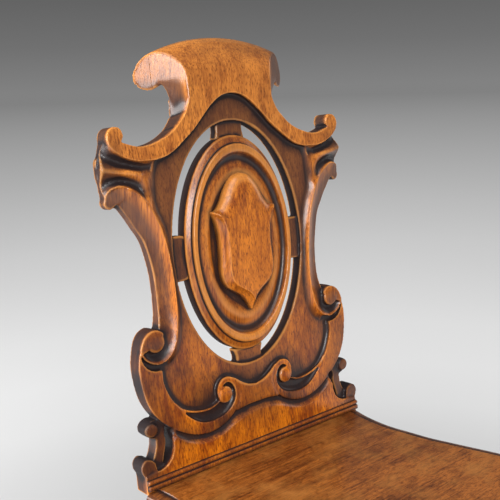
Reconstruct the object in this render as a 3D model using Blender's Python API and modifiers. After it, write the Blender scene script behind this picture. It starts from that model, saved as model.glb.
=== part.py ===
"""Oak hall chair: pierced and carved back, rolled crest, moulded board seat, turned front legs.

Metres, +Z up, the chair faces -Y. The origin is on the floor under the middle of the chair.
The back is modelled flat on the bench: X across, Y up the back, Z towards the sitter, with
the bench's zero on the front face of the board. An empty then stands it up behind the seat.
"""

import math

import bmesh
import bpy
from mathutils import Matrix, Vector

# Whole chair
SEAT_HEIGHT = 0.450
SEAT_DEPTH = 0.388
SEAT_HALF_WIDTH = 0.218
BACK_HEIGHT = 0.454
BACK_HALF_WIDTH = 0.157
BACK_RAKE = math.radians(5.5)

# Clearances between neighbouring pieces
JOINT_GAP = 0.0003
SOCKET_GAP = 0.0003
OVERRUN = 0.020
MERGE_DISTANCE = 0.00001

# Back board and its carved levels, as depths behind the front face
BOARD_THICKNESS = 0.022
FIELD_DEPTH = 0.0074
SCROLL_DEPTH = 0.002
STRAP_DEPTH = 0.006
SPOOL_DEPTH = 0.005
TAB_DEPTH = 0.0106
RELIEF_ROOT = 0.013
TONGUE_LENGTH = 0.082
TONGUE_CLEARANCE = 0.004
FOOT_DROP = 0.0045

# Oval opening with the medallion held in it by four tabs
OVAL_UP_SHARE = 0.5088
OPENING_WIDTH_SHARE = 0.5573
OPENING_HEIGHT_SHARE = 0.2952
MEDALLION_SIDE_GAP = 0.015
MEDALLION_END_GAP = 0.0155
DISH_DEPTH = 0.007
END_TAB_HALF_WIDTH = 0.0185
SIDE_TAB_BELOW = 0.029
SIDE_TAB_ABOVE = 0.020
TAB_ROOT = 0.004

# Applied shield
SHIELD_RISE = 0.0065
SHIELD_BEVEL = 0.006

# Rolled crest, a turned shape about the centre of the oval
ROLL_DEPTH = 0.034
CREST_FRONT_SHARE = 0.347
CREST_REAR_SHARE = 0.637
CREST_BASE_UP_SHARE = 0.815
CREST_SPLAY_UP_SHARE = 0.925

# Volutes and scroll eyes, their middles as shares of BACK_HALF_WIDTH and BACK_HEIGHT
VOLUTE_SHARES = (0.7675, 0.3183)
VOLUTE_RADIUS = 0.0195
VOLUTE_DEPTH = 0.004
VOLUTE_EYE_SHARES = (0.79, 0.327)
VOLUTE_EYE_RADIUS = 0.010
SCROLL_EYE_SHARES = (0.2645, 0.163)
SCROLL_EYE_RADIUS = 0.008
EAR_RIDGE_INNER_SHARE = 0.688
EAR_RIDGE_UP_SHARE = 0.7137
EAR_RIDGE_RADIUS = 0.005

# Bead moulding across the foot of the back
BEAD_HEIGHT = 0.0115
BEAD_PROUD = 0.0035
BEAD_RADIUS = 0.0023

# Seat board
SEAT_THICKNESS = 0.022
SEAT_STEP = 0.0012
SEAT_OVOLO_WIDTH = 0.0135
SEAT_OVOLO_HEIGHT = 0.0055
SEAT_BAND = 0.006
SEAT_UNDERCUT = 0.005

# Front legs, turned below a square block
FRONT_BLOCK = 0.044
FRONT_BLOCK_HEIGHT = 0.086
FRONT_LEG_INSET = 0.055
FRONT_LEG_SETBACK = 0.060
TURNED_RADIUS = 0.0205

# Rear legs, square and swept back
REAR_BLOCK = 0.038
REAR_BLOCK_HEIGHT = 0.110
REAR_LEG_INSET = 0.036
REAR_LEG_FORWARD = 0.027
REAR_FOOT_SWEEP = 0.062
REAR_FOOT_WIDTH = 0.029

# Seat rails and their tenons
RAIL_HEIGHT = 0.060
RAIL_THICKNESS = 0.022
RAIL_ARCH = 0.012
FRONT_RAIL_OFFSET = 0.007
REAR_RAIL_FORWARD = 0.019
TENON_THICKNESS = 0.010
TENON_LENGTH = 0.014
TENON_SHOULDER = 0.010

# Corner blocks and glue blocks
CORNER_REACH = 0.048
CORNER_HEIGHT = 0.034
GLUE_BLOCK = 0.015
GLUE_BLOCK_LENGTH = 0.060

# Wood screws: head, shank and length
SCREW_HEAD_RADIUS = 0.0042
SCREW_HEAD_HEIGHT = 0.0025
SCREW_SHANK_RADIUS = 0.0019
BACK_SCREW_LENGTH = 0.034
SEAT_SCREW_LENGTH = 0.044
CORNER_SCREW_LENGTH = 0.040
BACK_SCREW_INSET = 0.025
BACK_SCREW_UP = 0.040

# Drawing resolution
CURVE_STEPS = 3
ROUND_SIDES = 24
OVAL_SIDES = 64
SCREW_SIDES = 12
ROLL_STEPS = 72

# Outlines of the right half of the back: shares of BACK_HALF_WIDTH and BACK_HEIGHT
STRAP_ARM_SHARES = [
    (0, 0.867), (0.127, 0.854), (0.255, 0.816), (0.414, 0.767), (0.541, 0.737),
    (0.701, 0.727), (0.828, 0.733), (0.943, 0.758), (0.975, 0.784), (0.908, 0.804),
    (0.866, 0.786), (0.879, 0.772), (0.764, 0.758), (0.682, 0.761), (0.592, 0.771),
    (0.51, 0.784), (0.414, 0.815), (0.373, 0.837), (0.347, 0.863), (0.347, 0.892),
    (0, 0.892)]
STRAP_ARM_CORNERS = (0, 11, 19, 20)
EAR_SPOOL_SHARES = [
    (0.611, 0.736), (0.764, 0.736), (0.892, 0.744), (1, 0.764), (1.006, 0.716),
    (1, 0.665), (0.892, 0.661), (0.79, 0.648), (0.713, 0.626), (0.675, 0.661),
    (0.637, 0.7)]
EAR_SPOOL_CORNERS = (3, 5)
SIDE_STRAP_SHARES = [
    (0.701, 0.652), (0.796, 0.67), (0.904, 0.672), (0.994, 0.665), (1.006, 0.645),
    (0.981, 0.632), (0.936, 0.641), (0.873, 0.617), (0.815, 0.584), (0.764, 0.557),
    (0.732, 0.518), (0.707, 0.441), (0.713, 0.374), (0.726, 0.33), (0.662, 0.291),
    (0.611, 0.326), (0.564, 0.374), (0.557, 0.441), (0.592, 0.518), (0.643, 0.59)]
SIDE_STRAP_CORNERS = (3, 6)
C_SCROLL_SHARES = [
    (0.803, 0.33), (0.892, 0.33), (0.917, 0.297), (0.917, 0.26), (0.908, 0.22),
    (0.885, 0.189), (0.847, 0.163), (0.777, 0.134), (0.701, 0.115), (0.624, 0.096),
    (0.554, 0.085), (0.478, 0.08), (0.401, 0.081), (0.318, 0.088), (0.255, 0.097),
    (0.197, 0.115), (0.159, 0.134), (0.143, 0.154), (0.146, 0.174), (0.172, 0.191),
    (0.217, 0.2), (0.255, 0.2), (0.299, 0.195), (0.331, 0.181), (0.334, 0.165),
    (0.318, 0.15), (0.287, 0.142), (0.268, 0.159), (0.28, 0.178), (0.248, 0.188),
    (0.204, 0.183), (0.185, 0.165), (0.197, 0.143), (0.236, 0.124), (0.287, 0.112),
    (0.35, 0.106), (0.42, 0.105), (0.49, 0.111), (0.554, 0.124), (0.611, 0.145),
    (0.662, 0.167), (0.707, 0.189), (0.739, 0.214), (0.755, 0.242), (0.755, 0.275)]
C_SCROLL_CORNERS = (0,)
FOOT_SHARES = [
    (0, 0), (0.962, 0), (0.962, 0.033), (0.978, 0.055), (0.955, 0.07),
    (0.917, 0.068), (0.879, 0.057), (0.863, 0.073), (0.844, 0.093), (0.838, 0.11),
    (0.879, 0.115), (0.924, 0.13), (0.879, 0.145), (0.815, 0.15), (0.701, 0.132),
    (0.561, 0.099), (0.414, 0.093), (0.223, 0.11), (0.127, 0.145), (0.159, 0.183),
    (0.127, 0.176), (0.064, 0.165), (0, 0.161)]
FOOT_CORNERS = (0, 1, 2, 6, 9, 19, 22)
FIELD_SHARES = [
    (0, 0.066), (0.382, 0.066), (0.637, 0.099), (0.796, 0.165), (0.841, 0.242),
    (0.79, 0.308), (0.662, 0.352), (0.637, 0.441), (0.669, 0.551), (0.764, 0.628),
    (0.796, 0.694), (0.701, 0.744), (0.382, 0.797), (0.191, 0.85), (0, 0.872)]
FIELD_CORNERS = (0, 1, 14)
SHIELD_SHARES = [
    (0, 0.348), (0.019, 0.361), (0.064, 0.383), (0.127, 0.399), (0.178, 0.41),
    (0.21, 0.43), (0.223, 0.452), (0.217, 0.485), (0.213, 0.524), (0.223, 0.555),
    (0.261, 0.59), (0.21, 0.599), (0.172, 0.619), (0.14, 0.648), (0.102, 0.672),
    (0.051, 0.685), (0, 0.689)]
SHIELD_CORNERS = (0, 10)

# Right half of the seat's plan: shares of SEAT_HALF_WIDTH and SEAT_DEPTH, from the back forwards
SEAT_SHARES = [
    (0.706, 0), (0.691, 0.052), (0.687, 0.106), (0.695, 0.162), (0.716, 0.211),
    (0.741, 0.276), (0.775, 0.332), (0.81, 0.387), (0.846, 0.443), (0.89, 0.515),
    (0.931, 0.58), (0.963, 0.644), (0.991, 0.716), (1, 0.786), (0.977, 0.863),
    (0.917, 0.92), (0.826, 0.948), (0.688, 0.964), (0.459, 0.979), (0.229, 0.995),
    (0, 1)]

# Section of the crest: shares of ROLL_DEPTH behind the front face and of ROLL_RADIUS
ROLL_FRONT_SHARES = [
    (0, 0.60), (0, 0.85), (0.076, 0.907), (0.235, 0.95), (0.412, 0.986), (0.588, 1.0),
    (0.765, 0.998), (0.926, 0.982), (1.0, 0.95), (0.959, 0.901), (0.853, 0.869),
    (0.735, 0.851), (0.618, 0.847), (0.541, 0.856), (0.53, 0.83), (0.58, 0.78),
    (0.647, 0.72), (0.647, 0.60)]
CREST_BASE_REAR_SHARE = 0.56
CREST_SIDE_REAR_SHARE = 0.77
CREST_SIDE_UP_SHARE = 0.4

# Turned front leg: shares of TURNED_RADIUS and of the height under the block, top to bottom
TURNING_SHARES = [
    (0.83, 1.0), (0.83, 0.975), (0.95, 0.965), (1.0, 0.95), (0.95, 0.935), (0.66, 0.925),
    (0.60, 0.905), (0.66, 0.885), (0.88, 0.875), (0.88, 0.855), (0.70, 0.845),
    (0.80, 0.80), (0.95, 0.73), (1.0, 0.66), (0.97, 0.56), (0.88, 0.44), (0.76, 0.32),
    (0.65, 0.22), (0.60, 0.175), (0.76, 0.165), (0.85, 0.15), (0.76, 0.135),
    (0.56, 0.125), (0.52, 0.105), (0.62, 0.085), (0.76, 0.065), (0.80, 0.045),
    (0.70, 0.02), (0.60, 0.0)]

# Swept rear leg: shares of the height under the block, of the sweep, and of the narrowing
SWEEP_SHARES = [
    (1.0, 0.0, 0.0), (0.86, 0.02, 0.15), (0.70, 0.09, 0.38), (0.53, 0.22, 0.6),
    (0.36, 0.42, 0.78), (0.18, 0.69, 0.92), (0.0, 1.0, 1.0)]

# Medallion section: shares of its half width, and heights above (+) the dish floor as
# shares of DISH_DEPTH, from the rim in to the middle
MEDALLION_SHARES = [
    (1.0, -0.06), (0.975, 0.4), (0.93, 0.85), (0.915, 1.0), (0.835, 1.0), (0.815, 0.5),
    (0.775, 0.1), (0.74, 0.0), (0.0, 0.0)]

OAK_GOLD = (0.42, 0.20, 0.07, 1.0)
OAK_RED = (0.27, 0.12, 0.05, 1.0)
OAK_SEAT = (0.33, 0.17, 0.08, 1.0)
OAK_INSIDE = (0.45, 0.31, 0.18, 1.0)
STEEL = (0.35, 0.33, 0.31, 1.0)

RAIL_TOP = SEAT_HEIGHT - SEAT_THICKNESS - JOINT_GAP
FRONT_BLOCK_BASE = RAIL_TOP - FRONT_BLOCK_HEIGHT
REAR_BLOCK_BASE = RAIL_TOP - REAR_BLOCK_HEIGHT
RAIL_BASE = RAIL_TOP - RAIL_HEIGHT

# Places that follow the back board
OVAL_UP = BACK_HEIGHT * OVAL_UP_SHARE
OPENING_HALF_WIDTH = BACK_HALF_WIDTH * OPENING_WIDTH_SHARE
OPENING_HALF_HEIGHT = BACK_HEIGHT * OPENING_HEIGHT_SHARE
MEDALLION_HALF_WIDTH = OPENING_HALF_WIDTH - MEDALLION_SIDE_GAP
MEDALLION_HALF_HEIGHT = OPENING_HALF_HEIGHT - MEDALLION_END_GAP
ROLL_RADIUS = BACK_HEIGHT - OVAL_UP
CREST_FRONT_HALF_WIDTH = BACK_HALF_WIDTH * CREST_FRONT_SHARE
CREST_REAR_HALF_WIDTH = BACK_HALF_WIDTH * CREST_REAR_SHARE
CREST_BASE_UP = BACK_HEIGHT * CREST_BASE_UP_SHARE
CREST_SPLAY_UP = BACK_HEIGHT * CREST_SPLAY_UP_SHARE
EAR_RIDGE_INNER = BACK_HALF_WIDTH * EAR_RIDGE_INNER_SHARE
EAR_RIDGE_UP = BACK_HEIGHT * EAR_RIDGE_UP_SHARE

# Legs under the corners of the seat, and what follows them
FRONT_LEG_ACROSS = SEAT_HALF_WIDTH - FRONT_LEG_INSET
FRONT_LEG_FORWARD = SEAT_DEPTH - FRONT_LEG_SETBACK
FRONT_RAIL_FORWARD = FRONT_LEG_FORWARD + FRONT_RAIL_OFFSET
REAR_LEG_ACROSS = SEAT_HALF_WIDTH * SEAT_SHARES[0][0] - REAR_LEG_INSET
TONGUE_HALF_WIDTH = REAR_LEG_ACROSS - REAR_BLOCK / 2 - TONGUE_CLEARANCE
BACK_SCREW_ACROSS = TONGUE_HALF_WIDTH - BACK_SCREW_INSET


def crest_reach():
    """How far the roll reaches behind the foot of the back's front face."""
    reaches = [(OVAL_UP + r * ROLL_RADIUS) * math.sin(BACK_RAKE)
               + d * ROLL_DEPTH * math.cos(BACK_RAKE) for d, r in ROLL_FRONT_SHARES]
    return max(reaches)


BACK_Y = (SEAT_DEPTH - crest_reach()) / 2


def clear_scene():
    for obj in list(bpy.data.objects):
        bpy.data.objects.remove(obj, do_unlink=True)


def new_collection(name):
    collection = bpy.data.collections.new(name)
    bpy.context.scene.collection.children.link(collection)
    return collection


clear_scene()
PARTS = new_collection("hall_chair")
CUTTERS = new_collection("cutters")


def new_empty(name, location, rotation):
    empty = bpy.data.objects.new(name, None)
    empty.location = location
    empty.rotation_euler = rotation
    PARTS.objects.link(empty)
    return empty


BENCH = new_empty("back_frame", (0, BACK_Y, SEAT_HEIGHT), (math.pi / 2 - BACK_RAKE, 0, 0))
bpy.context.view_layer.update()


def make_material(name, colour, roughness, metallic=0.0):
    material = bpy.data.materials.new(name)
    material.use_nodes = True
    shader = material.node_tree.nodes["Principled BSDF"]
    shader.inputs["Base Color"].default_value = colour
    shader.inputs["Roughness"].default_value = roughness
    shader.inputs["Metallic"].default_value = metallic
    material.diffuse_color = colour
    return material


def add_mesh(name, mesh, parent=None):
    obj = bpy.data.objects.new(name, mesh)
    obj.parent = parent
    CUTTERS.objects.link(obj)
    obj.hide_render = True
    obj.display_type = "WIRE"
    return obj


def finish_part(obj, name, colour, roughness=0.45, metallic=0.0):
    """Name a finished piece, give it its own material and move it to the parts."""
    obj.name = name
    obj.data.name = name
    obj.data.materials.clear()
    obj.data.materials.append(make_material(name, colour, roughness, metallic))
    obj.hide_render = False
    obj.display_type = "TEXTURED"
    CUTTERS.objects.unlink(obj)
    PARTS.objects.link(obj)
    obj.data.shade_smooth()
    obj.data.set_sharp_from_angle(angle=math.radians(35))
    return obj


def mesh_from_bmesh(name, bm):
    bmesh.ops.remove_doubles(bm, verts=bm.verts, dist=MERGE_DISTANCE)
    bmesh.ops.recalc_face_normals(bm, faces=bm.faces)
    mesh = bpy.data.meshes.new(name)
    bm.to_mesh(mesh)
    bm.free()
    return mesh


def evaluated_mesh(obj):
    """A welded mesh of an object as its curve or modifiers leave it."""
    bpy.context.view_layer.update()
    evaluated = obj.evaluated_get(bpy.context.evaluated_depsgraph_get())
    mesh = bpy.data.meshes.new_from_object(evaluated)
    bm = bmesh.new()
    bm.from_mesh(mesh)
    bpy.data.meshes.remove(mesh)
    return mesh_from_bmesh(obj.name, bm)


def box(name, low, high, parent=None):
    bm = bmesh.new()
    bmesh.ops.create_cube(bm, size=1.0)
    size = Vector(high) - Vector(low)
    middle = (Vector(high) + Vector(low)) / 2
    bmesh.ops.transform(bm, matrix=Matrix.Translation(middle) @ Matrix.Diagonal((*size, 1)),
                        verts=bm.verts)
    return add_mesh(name, mesh_from_bmesh(name, bm), parent)


def rod(name, centre, radius_x, radius_y, low, high, sides, parent=None):
    """An upright round or oval bar between two heights."""
    bm = bmesh.new()
    bmesh.ops.create_cone(bm, cap_ends=True, segments=sides, radius1=1, radius2=1, depth=1)
    size = Matrix.Diagonal((radius_x, radius_y, high - low, 1))
    place = Matrix.Translation((centre[0], centre[1], (low + high) / 2))
    bmesh.ops.transform(bm, matrix=place @ size, verts=bm.verts)
    return add_mesh(name, mesh_from_bmesh(name, bm), parent)


def plate(name, points, corners, low, high, parent=None):
    """A flat shape with a smooth outline, sharp at its corners, between two heights."""
    curve = bpy.data.curves.new(name, "CURVE")
    curve.dimensions = "2D"
    curve.fill_mode = "BOTH"
    curve.extrude = (high - low) / 2
    curve.resolution_u = CURVE_STEPS
    spline = curve.splines.new("BEZIER")
    spline.bezier_points.add(len(points) - 1)
    for index, (point, knot) in enumerate(zip(points, spline.bezier_points)):
        knot.co = (point[0], point[1], 0)
        kind = "VECTOR" if index in corners else "AUTO"
        knot.handle_left_type = kind
        knot.handle_right_type = kind
    spline.use_cyclic_u = True
    drawn = bpy.data.objects.new(name, curve)
    CUTTERS.objects.link(drawn)
    mesh = evaluated_mesh(drawn)
    bpy.data.objects.remove(drawn, do_unlink=True)
    mesh.transform(Matrix.Translation((0, 0, (low + high) / 2)))
    return add_mesh(name, mesh, parent)


def cut(target, tool, operation="DIFFERENCE", solver="EXACT"):
    """Apply one Boolean to the target and remove the tool."""
    modifier = target.modifiers.new(operation.lower(), "BOOLEAN")
    modifier.object = tool
    modifier.operation = operation
    modifier.solver = solver
    mesh = evaluated_mesh(target)
    target.modifiers.clear()
    target.data = mesh
    bpy.data.objects.remove(tool, do_unlink=True)
    return target


def fuse(target, tool, solver="EXACT"):
    return cut(target, tool, "UNION", solver)


def fuse_flush(target, tool):
    """Fuse two solids that share a face plane, where EXACT leaves open edges."""
    return fuse(target, tool, "MANIFOLD")


def duplicate(obj, name):
    copy = add_mesh(name, obj.data.copy(), obj.parent)
    copy.matrix_basis = obj.matrix_basis.copy()
    return copy


def mirrored(obj, name):
    """A separate left-hand copy of a right-hand piece."""
    mesh = obj.data.copy()
    mesh.transform(Matrix.Diagonal((-1, 1, 1, 1)))
    mesh.flip_normals()
    copy = add_mesh(name, mesh, obj.parent)
    return copy


def back_outline(shares):
    return [(u * BACK_HALF_WIDTH, v * BACK_HEIGHT) for u, v in shares]


def back_plate(name, shares, corners, front_depth, rear_depth):
    points = back_outline(shares)
    return plate(name, points, corners, -rear_depth, -front_depth, BENCH)


def both_sides(points):
    """A whole outline from its right half, which starts and ends on the middle line."""
    left = [(-x, y) for x, y in reversed(points) if x > 0]
    return points + left


def crest_solid():
    """The splayed block of the crest, turned to the section of the roll."""
    top = OVAL_UP + ROLL_RADIUS + OVERRUN
    side_up = CREST_BASE_UP + CREST_SIDE_UP_SHARE * (CREST_SPLAY_UP - CREST_BASE_UP)
    levels = [CREST_BASE_UP, side_up, CREST_SPLAY_UP, top]
    rear_shares = [CREST_BASE_REAR_SHARE, CREST_SIDE_REAR_SHARE, 1, 1]
    rear = [(CREST_REAR_HALF_WIDTH * share, up) for share, up in zip(rear_shares, levels)]
    front = [(CREST_FRONT_HALF_WIDTH, up) for up in levels]
    rear += [(-x, y) for x, y in reversed(rear)]
    front += [(-x, y) for x, y in reversed(front)]
    bm = bmesh.new()
    loop = [bm.verts.new((x, y, -ROLL_DEPTH)) for x, y in rear]
    base = bm.faces.new(loop)
    made = bmesh.ops.extrude_face_region(bm, geom=[base])
    raised = [item for item in made["geom"] if isinstance(item, bmesh.types.BMVert)]
    for vert in raised:
        nearest = min(range(len(rear)), key=lambda i: (vert.co.xy - Vector(rear[i])).length)
        vert.co = (front[nearest][0], front[nearest][1], 0)
    bmesh.ops.triangulate(bm, faces=bm.faces)
    block = add_mesh("crest", mesh_from_bmesh("crest", bm), BENCH)
    return cut(block, roll_ring(), "INTERSECT")


def roll_ring():
    """The section of the roll, turned about the centre of the oval."""
    bm = bmesh.new()
    profile = [bm.verts.new((r * ROLL_RADIUS, 0, -d * ROLL_DEPTH))
               for d, r in ROLL_FRONT_SHARES]
    edges = [bm.edges.new((a, b)) for a, b in zip(profile, profile[1:] + profile[:1])]
    bmesh.ops.spin(bm, geom=edges, axis=(0, 0, 1), cent=(0, 0, 0), angle=math.tau,
                   steps=ROLL_STEPS, use_merge=True)
    ring = mesh_from_bmesh("roll", bm)
    ring.transform(Matrix.Translation((0, OVAL_UP, 0)))
    return add_mesh("roll", ring, BENCH)


def half_space(name, low_depth, high_depth):
    """A wide slab of the bench between two depths behind the front face."""
    reach = BACK_HEIGHT + OVERRUN
    return box(name, (-reach, -reach, -high_depth), (reach, reach, -low_depth), BENCH)


def medallion():
    """The oval boss, turned round and then drawn out to an oval."""
    floor = -DISH_DEPTH
    section = [(u * MEDALLION_HALF_WIDTH, floor + h * DISH_DEPTH) for u, h in MEDALLION_SHARES]
    section = [(0, -BOARD_THICKNESS), (MEDALLION_HALF_WIDTH, -BOARD_THICKNESS)] + section
    mesh = turned_mesh("medallion", section, OVAL_SIDES)
    stretch = MEDALLION_HALF_HEIGHT / MEDALLION_HALF_WIDTH
    mesh.transform(Matrix.Translation((0, OVAL_UP, 0)) @ Matrix.Diagonal((1, stretch, 1, 1)))
    return add_mesh("medallion", mesh, BENCH)


def tabs():
    """Two crossing bars behind the medallion, whose ends show as the four tabs."""
    side_reach = OPENING_HALF_WIDTH + TAB_ROOT
    end_reach = OPENING_HALF_HEIGHT + TAB_ROOT
    side = box("side_tabs", (-side_reach, OVAL_UP - SIDE_TAB_BELOW, -BOARD_THICKNESS),
               (side_reach, OVAL_UP + SIDE_TAB_ABOVE, -TAB_DEPTH), BENCH)
    end = box("end_tabs", (-END_TAB_HALF_WIDTH, OVAL_UP - end_reach, -BOARD_THICKNESS),
              (END_TAB_HALF_WIDTH, OVAL_UP + end_reach, -TAB_DEPTH), BENCH)
    return fuse(side, end)


def ear_ridge():
    """The rounded ridge that runs out along the ear."""
    bm = bmesh.new()
    bmesh.ops.create_cone(bm, cap_ends=True, segments=ROUND_SIDES // 2,
                          radius1=EAR_RIDGE_RADIUS, radius2=EAR_RIDGE_RADIUS,
                          depth=BACK_HALF_WIDTH - EAR_RIDGE_INNER)
    middle = (BACK_HALF_WIDTH + EAR_RIDGE_INNER) / 2
    place = Matrix.Translation((middle, EAR_RIDGE_UP, -SPOOL_DEPTH))
    turn = Matrix.Rotation(math.pi / 2, 4, "Y")
    bmesh.ops.transform(bm, matrix=place @ turn, verts=bm.verts)
    return add_mesh("ear_ridge", mesh_from_bmesh("ear_ridge", bm), BENCH)


def disc(name, shares, radius, front_depth, rear_depth):
    middle = (shares[0] * BACK_HALF_WIDTH, shares[1] * BACK_HEIGHT)
    return rod(name, middle, radius, radius, -rear_depth, -front_depth, ROUND_SIDES, BENCH)


def side_carving(board):
    """Fuse the right-hand straps, ear, volute and scroll to the board."""
    full = BOARD_THICKNESS
    pieces = [
        back_plate("ear", EAR_SPOOL_SHARES, EAR_SPOOL_CORNERS, SPOOL_DEPTH, full),
        back_plate("side_strap", SIDE_STRAP_SHARES, SIDE_STRAP_CORNERS, STRAP_DEPTH, full),
        back_plate("scroll", C_SCROLL_SHARES, C_SCROLL_CORNERS, SCROLL_DEPTH, full),
        disc("volute", VOLUTE_SHARES, VOLUTE_RADIUS, VOLUTE_DEPTH, full),
        disc("volute_eye", VOLUTE_EYE_SHARES, VOLUTE_EYE_RADIUS, 0, RELIEF_ROOT),
        disc("scroll_eye", SCROLL_EYE_SHARES, SCROLL_EYE_RADIUS, SCROLL_DEPTH / 2,
             RELIEF_ROOT),
        ear_ridge()]
    for piece in pieces:
        fuse_flush(board, piece)
    return board


def mirror_board(board):
    """Keep the right half of the board and mirror it across the middle line."""
    modifier = board.modifiers.new("halves", "MIRROR")
    modifier.use_axis = (True, False, False)
    modifier.use_bisect_axis = (True, False, False)
    modifier.use_bisect_flip_axis = (False, False, False)
    modifier.merge_threshold = MERGE_DISTANCE
    board.data = evaluated_mesh(board)
    board.modifiers.clear()
    return board


def back_board(crest):
    """The pierced board with its carving, from the crest down to the tongue."""
    full = BOARD_THICKNESS
    field = both_sides(back_outline(FIELD_SHARES))
    board = plate("back_panel", field, mirrored_corners(FIELD_CORNERS, field),
                  -full, -FIELD_DEPTH, BENCH)
    opening = rod("opening", (0, OVAL_UP), OPENING_HALF_WIDTH, OPENING_HALF_HEIGHT,
                  -full - OVERRUN, OVERRUN, OVAL_SIDES, BENCH)
    cut(board, opening, solver="MANIFOLD")
    boss = medallion()
    fuse_flush(boss, tabs())
    fuse_flush(board, boss)
    strap = both_sides(back_outline(STRAP_ARM_SHARES))
    fuse_flush(board, plate("strap", strap, mirrored_corners(STRAP_ARM_CORNERS, strap),
                            -full, 0, BENCH))
    foot = both_sides(back_outline(FOOT_SHARES))
    fuse_flush(board, plate("foot", foot, mirrored_corners(FOOT_CORNERS, foot),
                            -full, 0, BENCH))
    side_carving(board)
    front_of_crest = half_space("front_part", -OVERRUN, full)
    fuse_flush(board, cut(crest, front_of_crest, "INTERSECT"))
    half = BACK_HALF_WIDTH * FOOT_SHARES[1][0]
    fuse_flush(board, box("foot_drop", (-half, -FOOT_DROP, -full), (half, TAB_ROOT, 0), BENCH))
    tongue = box("tongue", (-TONGUE_HALF_WIDTH, -TONGUE_LENGTH, -full),
                 (TONGUE_HALF_WIDTH, TAB_ROOT, 0), BENCH)
    fuse_flush(board, tongue)
    return mirror_board(board)


def mirrored_corners(corners, points):
    """Corner numbers of a whole outline, from those of its right half."""
    half = (len(points) + 2) // 2
    on_left = [len(points) - index for index in corners if 0 < index < half - 1]
    return tuple(corners) + tuple(on_left)


def crest_back_block(crest):
    behind = half_space("rear_part", BOARD_THICKNESS + JOINT_GAP, ROLL_DEPTH + OVERRUN)
    return cut(crest, behind, "INTERSECT")


def foot_bead():
    """The strip and bead glued across the foot of the back, just above the seat."""
    half = BACK_HALF_WIDTH * FOOT_SHARES[1][0]
    base = JOINT_GAP
    strip = box("foot_bead", (-half, base, JOINT_GAP), (half, BEAD_HEIGHT, BEAD_PROUD), BENCH)
    bm = bmesh.new()
    bmesh.ops.create_cone(bm, cap_ends=True, segments=ROUND_SIDES // 2,
                          radius1=BEAD_RADIUS, radius2=BEAD_RADIUS, depth=2 * half)
    centre = (0, BEAD_HEIGHT - BEAD_RADIUS, BEAD_PROUD)
    bmesh.ops.transform(bm, matrix=Matrix.Translation(centre)
                        @ Matrix.Rotation(math.pi / 2, 4, "Y"), verts=bm.verts)
    return fuse(strip, add_mesh("bead", mesh_from_bmesh("bead", bm), BENCH))


def shield():
    """The applied shield, bevelled to a smaller flat face."""
    points = both_sides(back_outline(SHIELD_SHARES))
    corners = mirrored_corners(SHIELD_CORNERS, points)
    base = -DISH_DEPTH + JOINT_GAP
    piece = plate("shield", points, corners, base, SHIELD_RISE - SHIELD_BEVEL, BENCH)
    bm = bmesh.new()
    bm.from_mesh(piece.data)
    top = max(vert.co.z for vert in bm.verts)
    faces = [face for face in bm.faces if min(v.co.z for v in face.verts) > top - MERGE_DISTANCE]
    bmesh.ops.dissolve_faces(bm, faces=faces)
    crown = max(bm.faces, key=lambda face: face.calc_center_median().z)
    middle = crown.calc_center_median()
    made = bmesh.ops.extrude_face_region(bm, geom=[crown])
    bmesh.ops.delete(bm, geom=[crown], context="FACES_ONLY")
    raised = [item for item in made["geom"] if isinstance(item, bmesh.types.BMVert)]
    half_width = SHIELD_SHARES[10][0] * BACK_HALF_WIDTH
    share = (half_width - SHIELD_BEVEL) / half_width
    for vert in raised:
        vert.co.x = vert.co.x * share
        vert.co.y = middle.y + (vert.co.y - middle.y) * share
        vert.co.z = SHIELD_RISE
    bmesh.ops.triangulate(bm, faces=bm.faces)
    piece.data = mesh_from_bmesh("shield", bm)
    return piece


def seat_board():
    """The seat: a shaped board with a thumb moulding worked on its edge."""
    points = [(x * SEAT_HALF_WIDTH, BACK_Y - y * SEAT_DEPTH) for x, y in SEAT_SHARES]
    rear = [(0, BACK_Y + OVERRUN), (points[0][0], BACK_Y + OVERRUN)]
    outline = both_sides(rear + points)
    corners = mirrored_corners((0, 1, 2), outline)
    bottom = SEAT_HEIGHT - SEAT_THICKNESS
    band_top = SEAT_HEIGHT - SEAT_STEP - SEAT_OVOLO_HEIGHT
    board = plate("seat_board", outline, corners, band_top - SEAT_BAND, band_top)
    bm = bmesh.new()
    bm.from_mesh(board.data)
    flat = [face for face in bm.faces if abs(face.normal.z) > math.cos(math.radians(1))]
    bmesh.ops.dissolve_limit(bm, angle_limit=math.radians(1), verts=bm.verts,
                             edges=[e for e in bm.edges if len(e.link_faces) == 2
                                    and all(f in flat for f in e.link_faces)])
    step_edge(bm, True, thumb_steps())
    under = bottom - (band_top - SEAT_BAND)
    step_edge(bm, False, [(SEAT_UNDERCUT, under)])
    bmesh.ops.triangulate(bm, faces=bm.faces)
    board.data = mesh_from_bmesh("seat_board", bm)
    return cut(board, back_plane_cutter())


def thumb_steps():
    """Width and height of each step of the thumb moulding, from the band inwards."""
    angles = [math.radians(a) for a in (30, 55, 75, 90)]
    outline = [(SEAT_OVOLO_WIDTH * (1 - math.cos(a)), SEAT_OVOLO_HEIGHT * math.sin(a))
               for a in [0] + angles]
    steps = [(b[0] - a[0], b[1] - a[1]) for a, b in zip(outline, outline[1:])]
    return steps + [(SEAT_STEP / 4, SEAT_STEP)]


def step_edge(bm, top, steps):
    """Work a row of steps inwards from the edge of the board's top or underside."""
    side = 1 if top else -1
    for width, height in steps:
        face = max(bm.faces, key=lambda f: (side * f.calc_center_median().z, f.calc_area()))
        bmesh.ops.inset_region(bm, faces=[face], thickness=width, depth=0,
                               use_even_offset=True, use_boundary=True)
        bmesh.ops.translate(bm, vec=(0, 0, height), verts=list(face.verts))


def back_plane_cutter():
    """Everything behind the front face of the back, less the gap at the joint."""
    reach = BACK_HEIGHT
    return box("behind", (-reach, -reach, -reach), (reach, reach, JOINT_GAP), BENCH)


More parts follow.
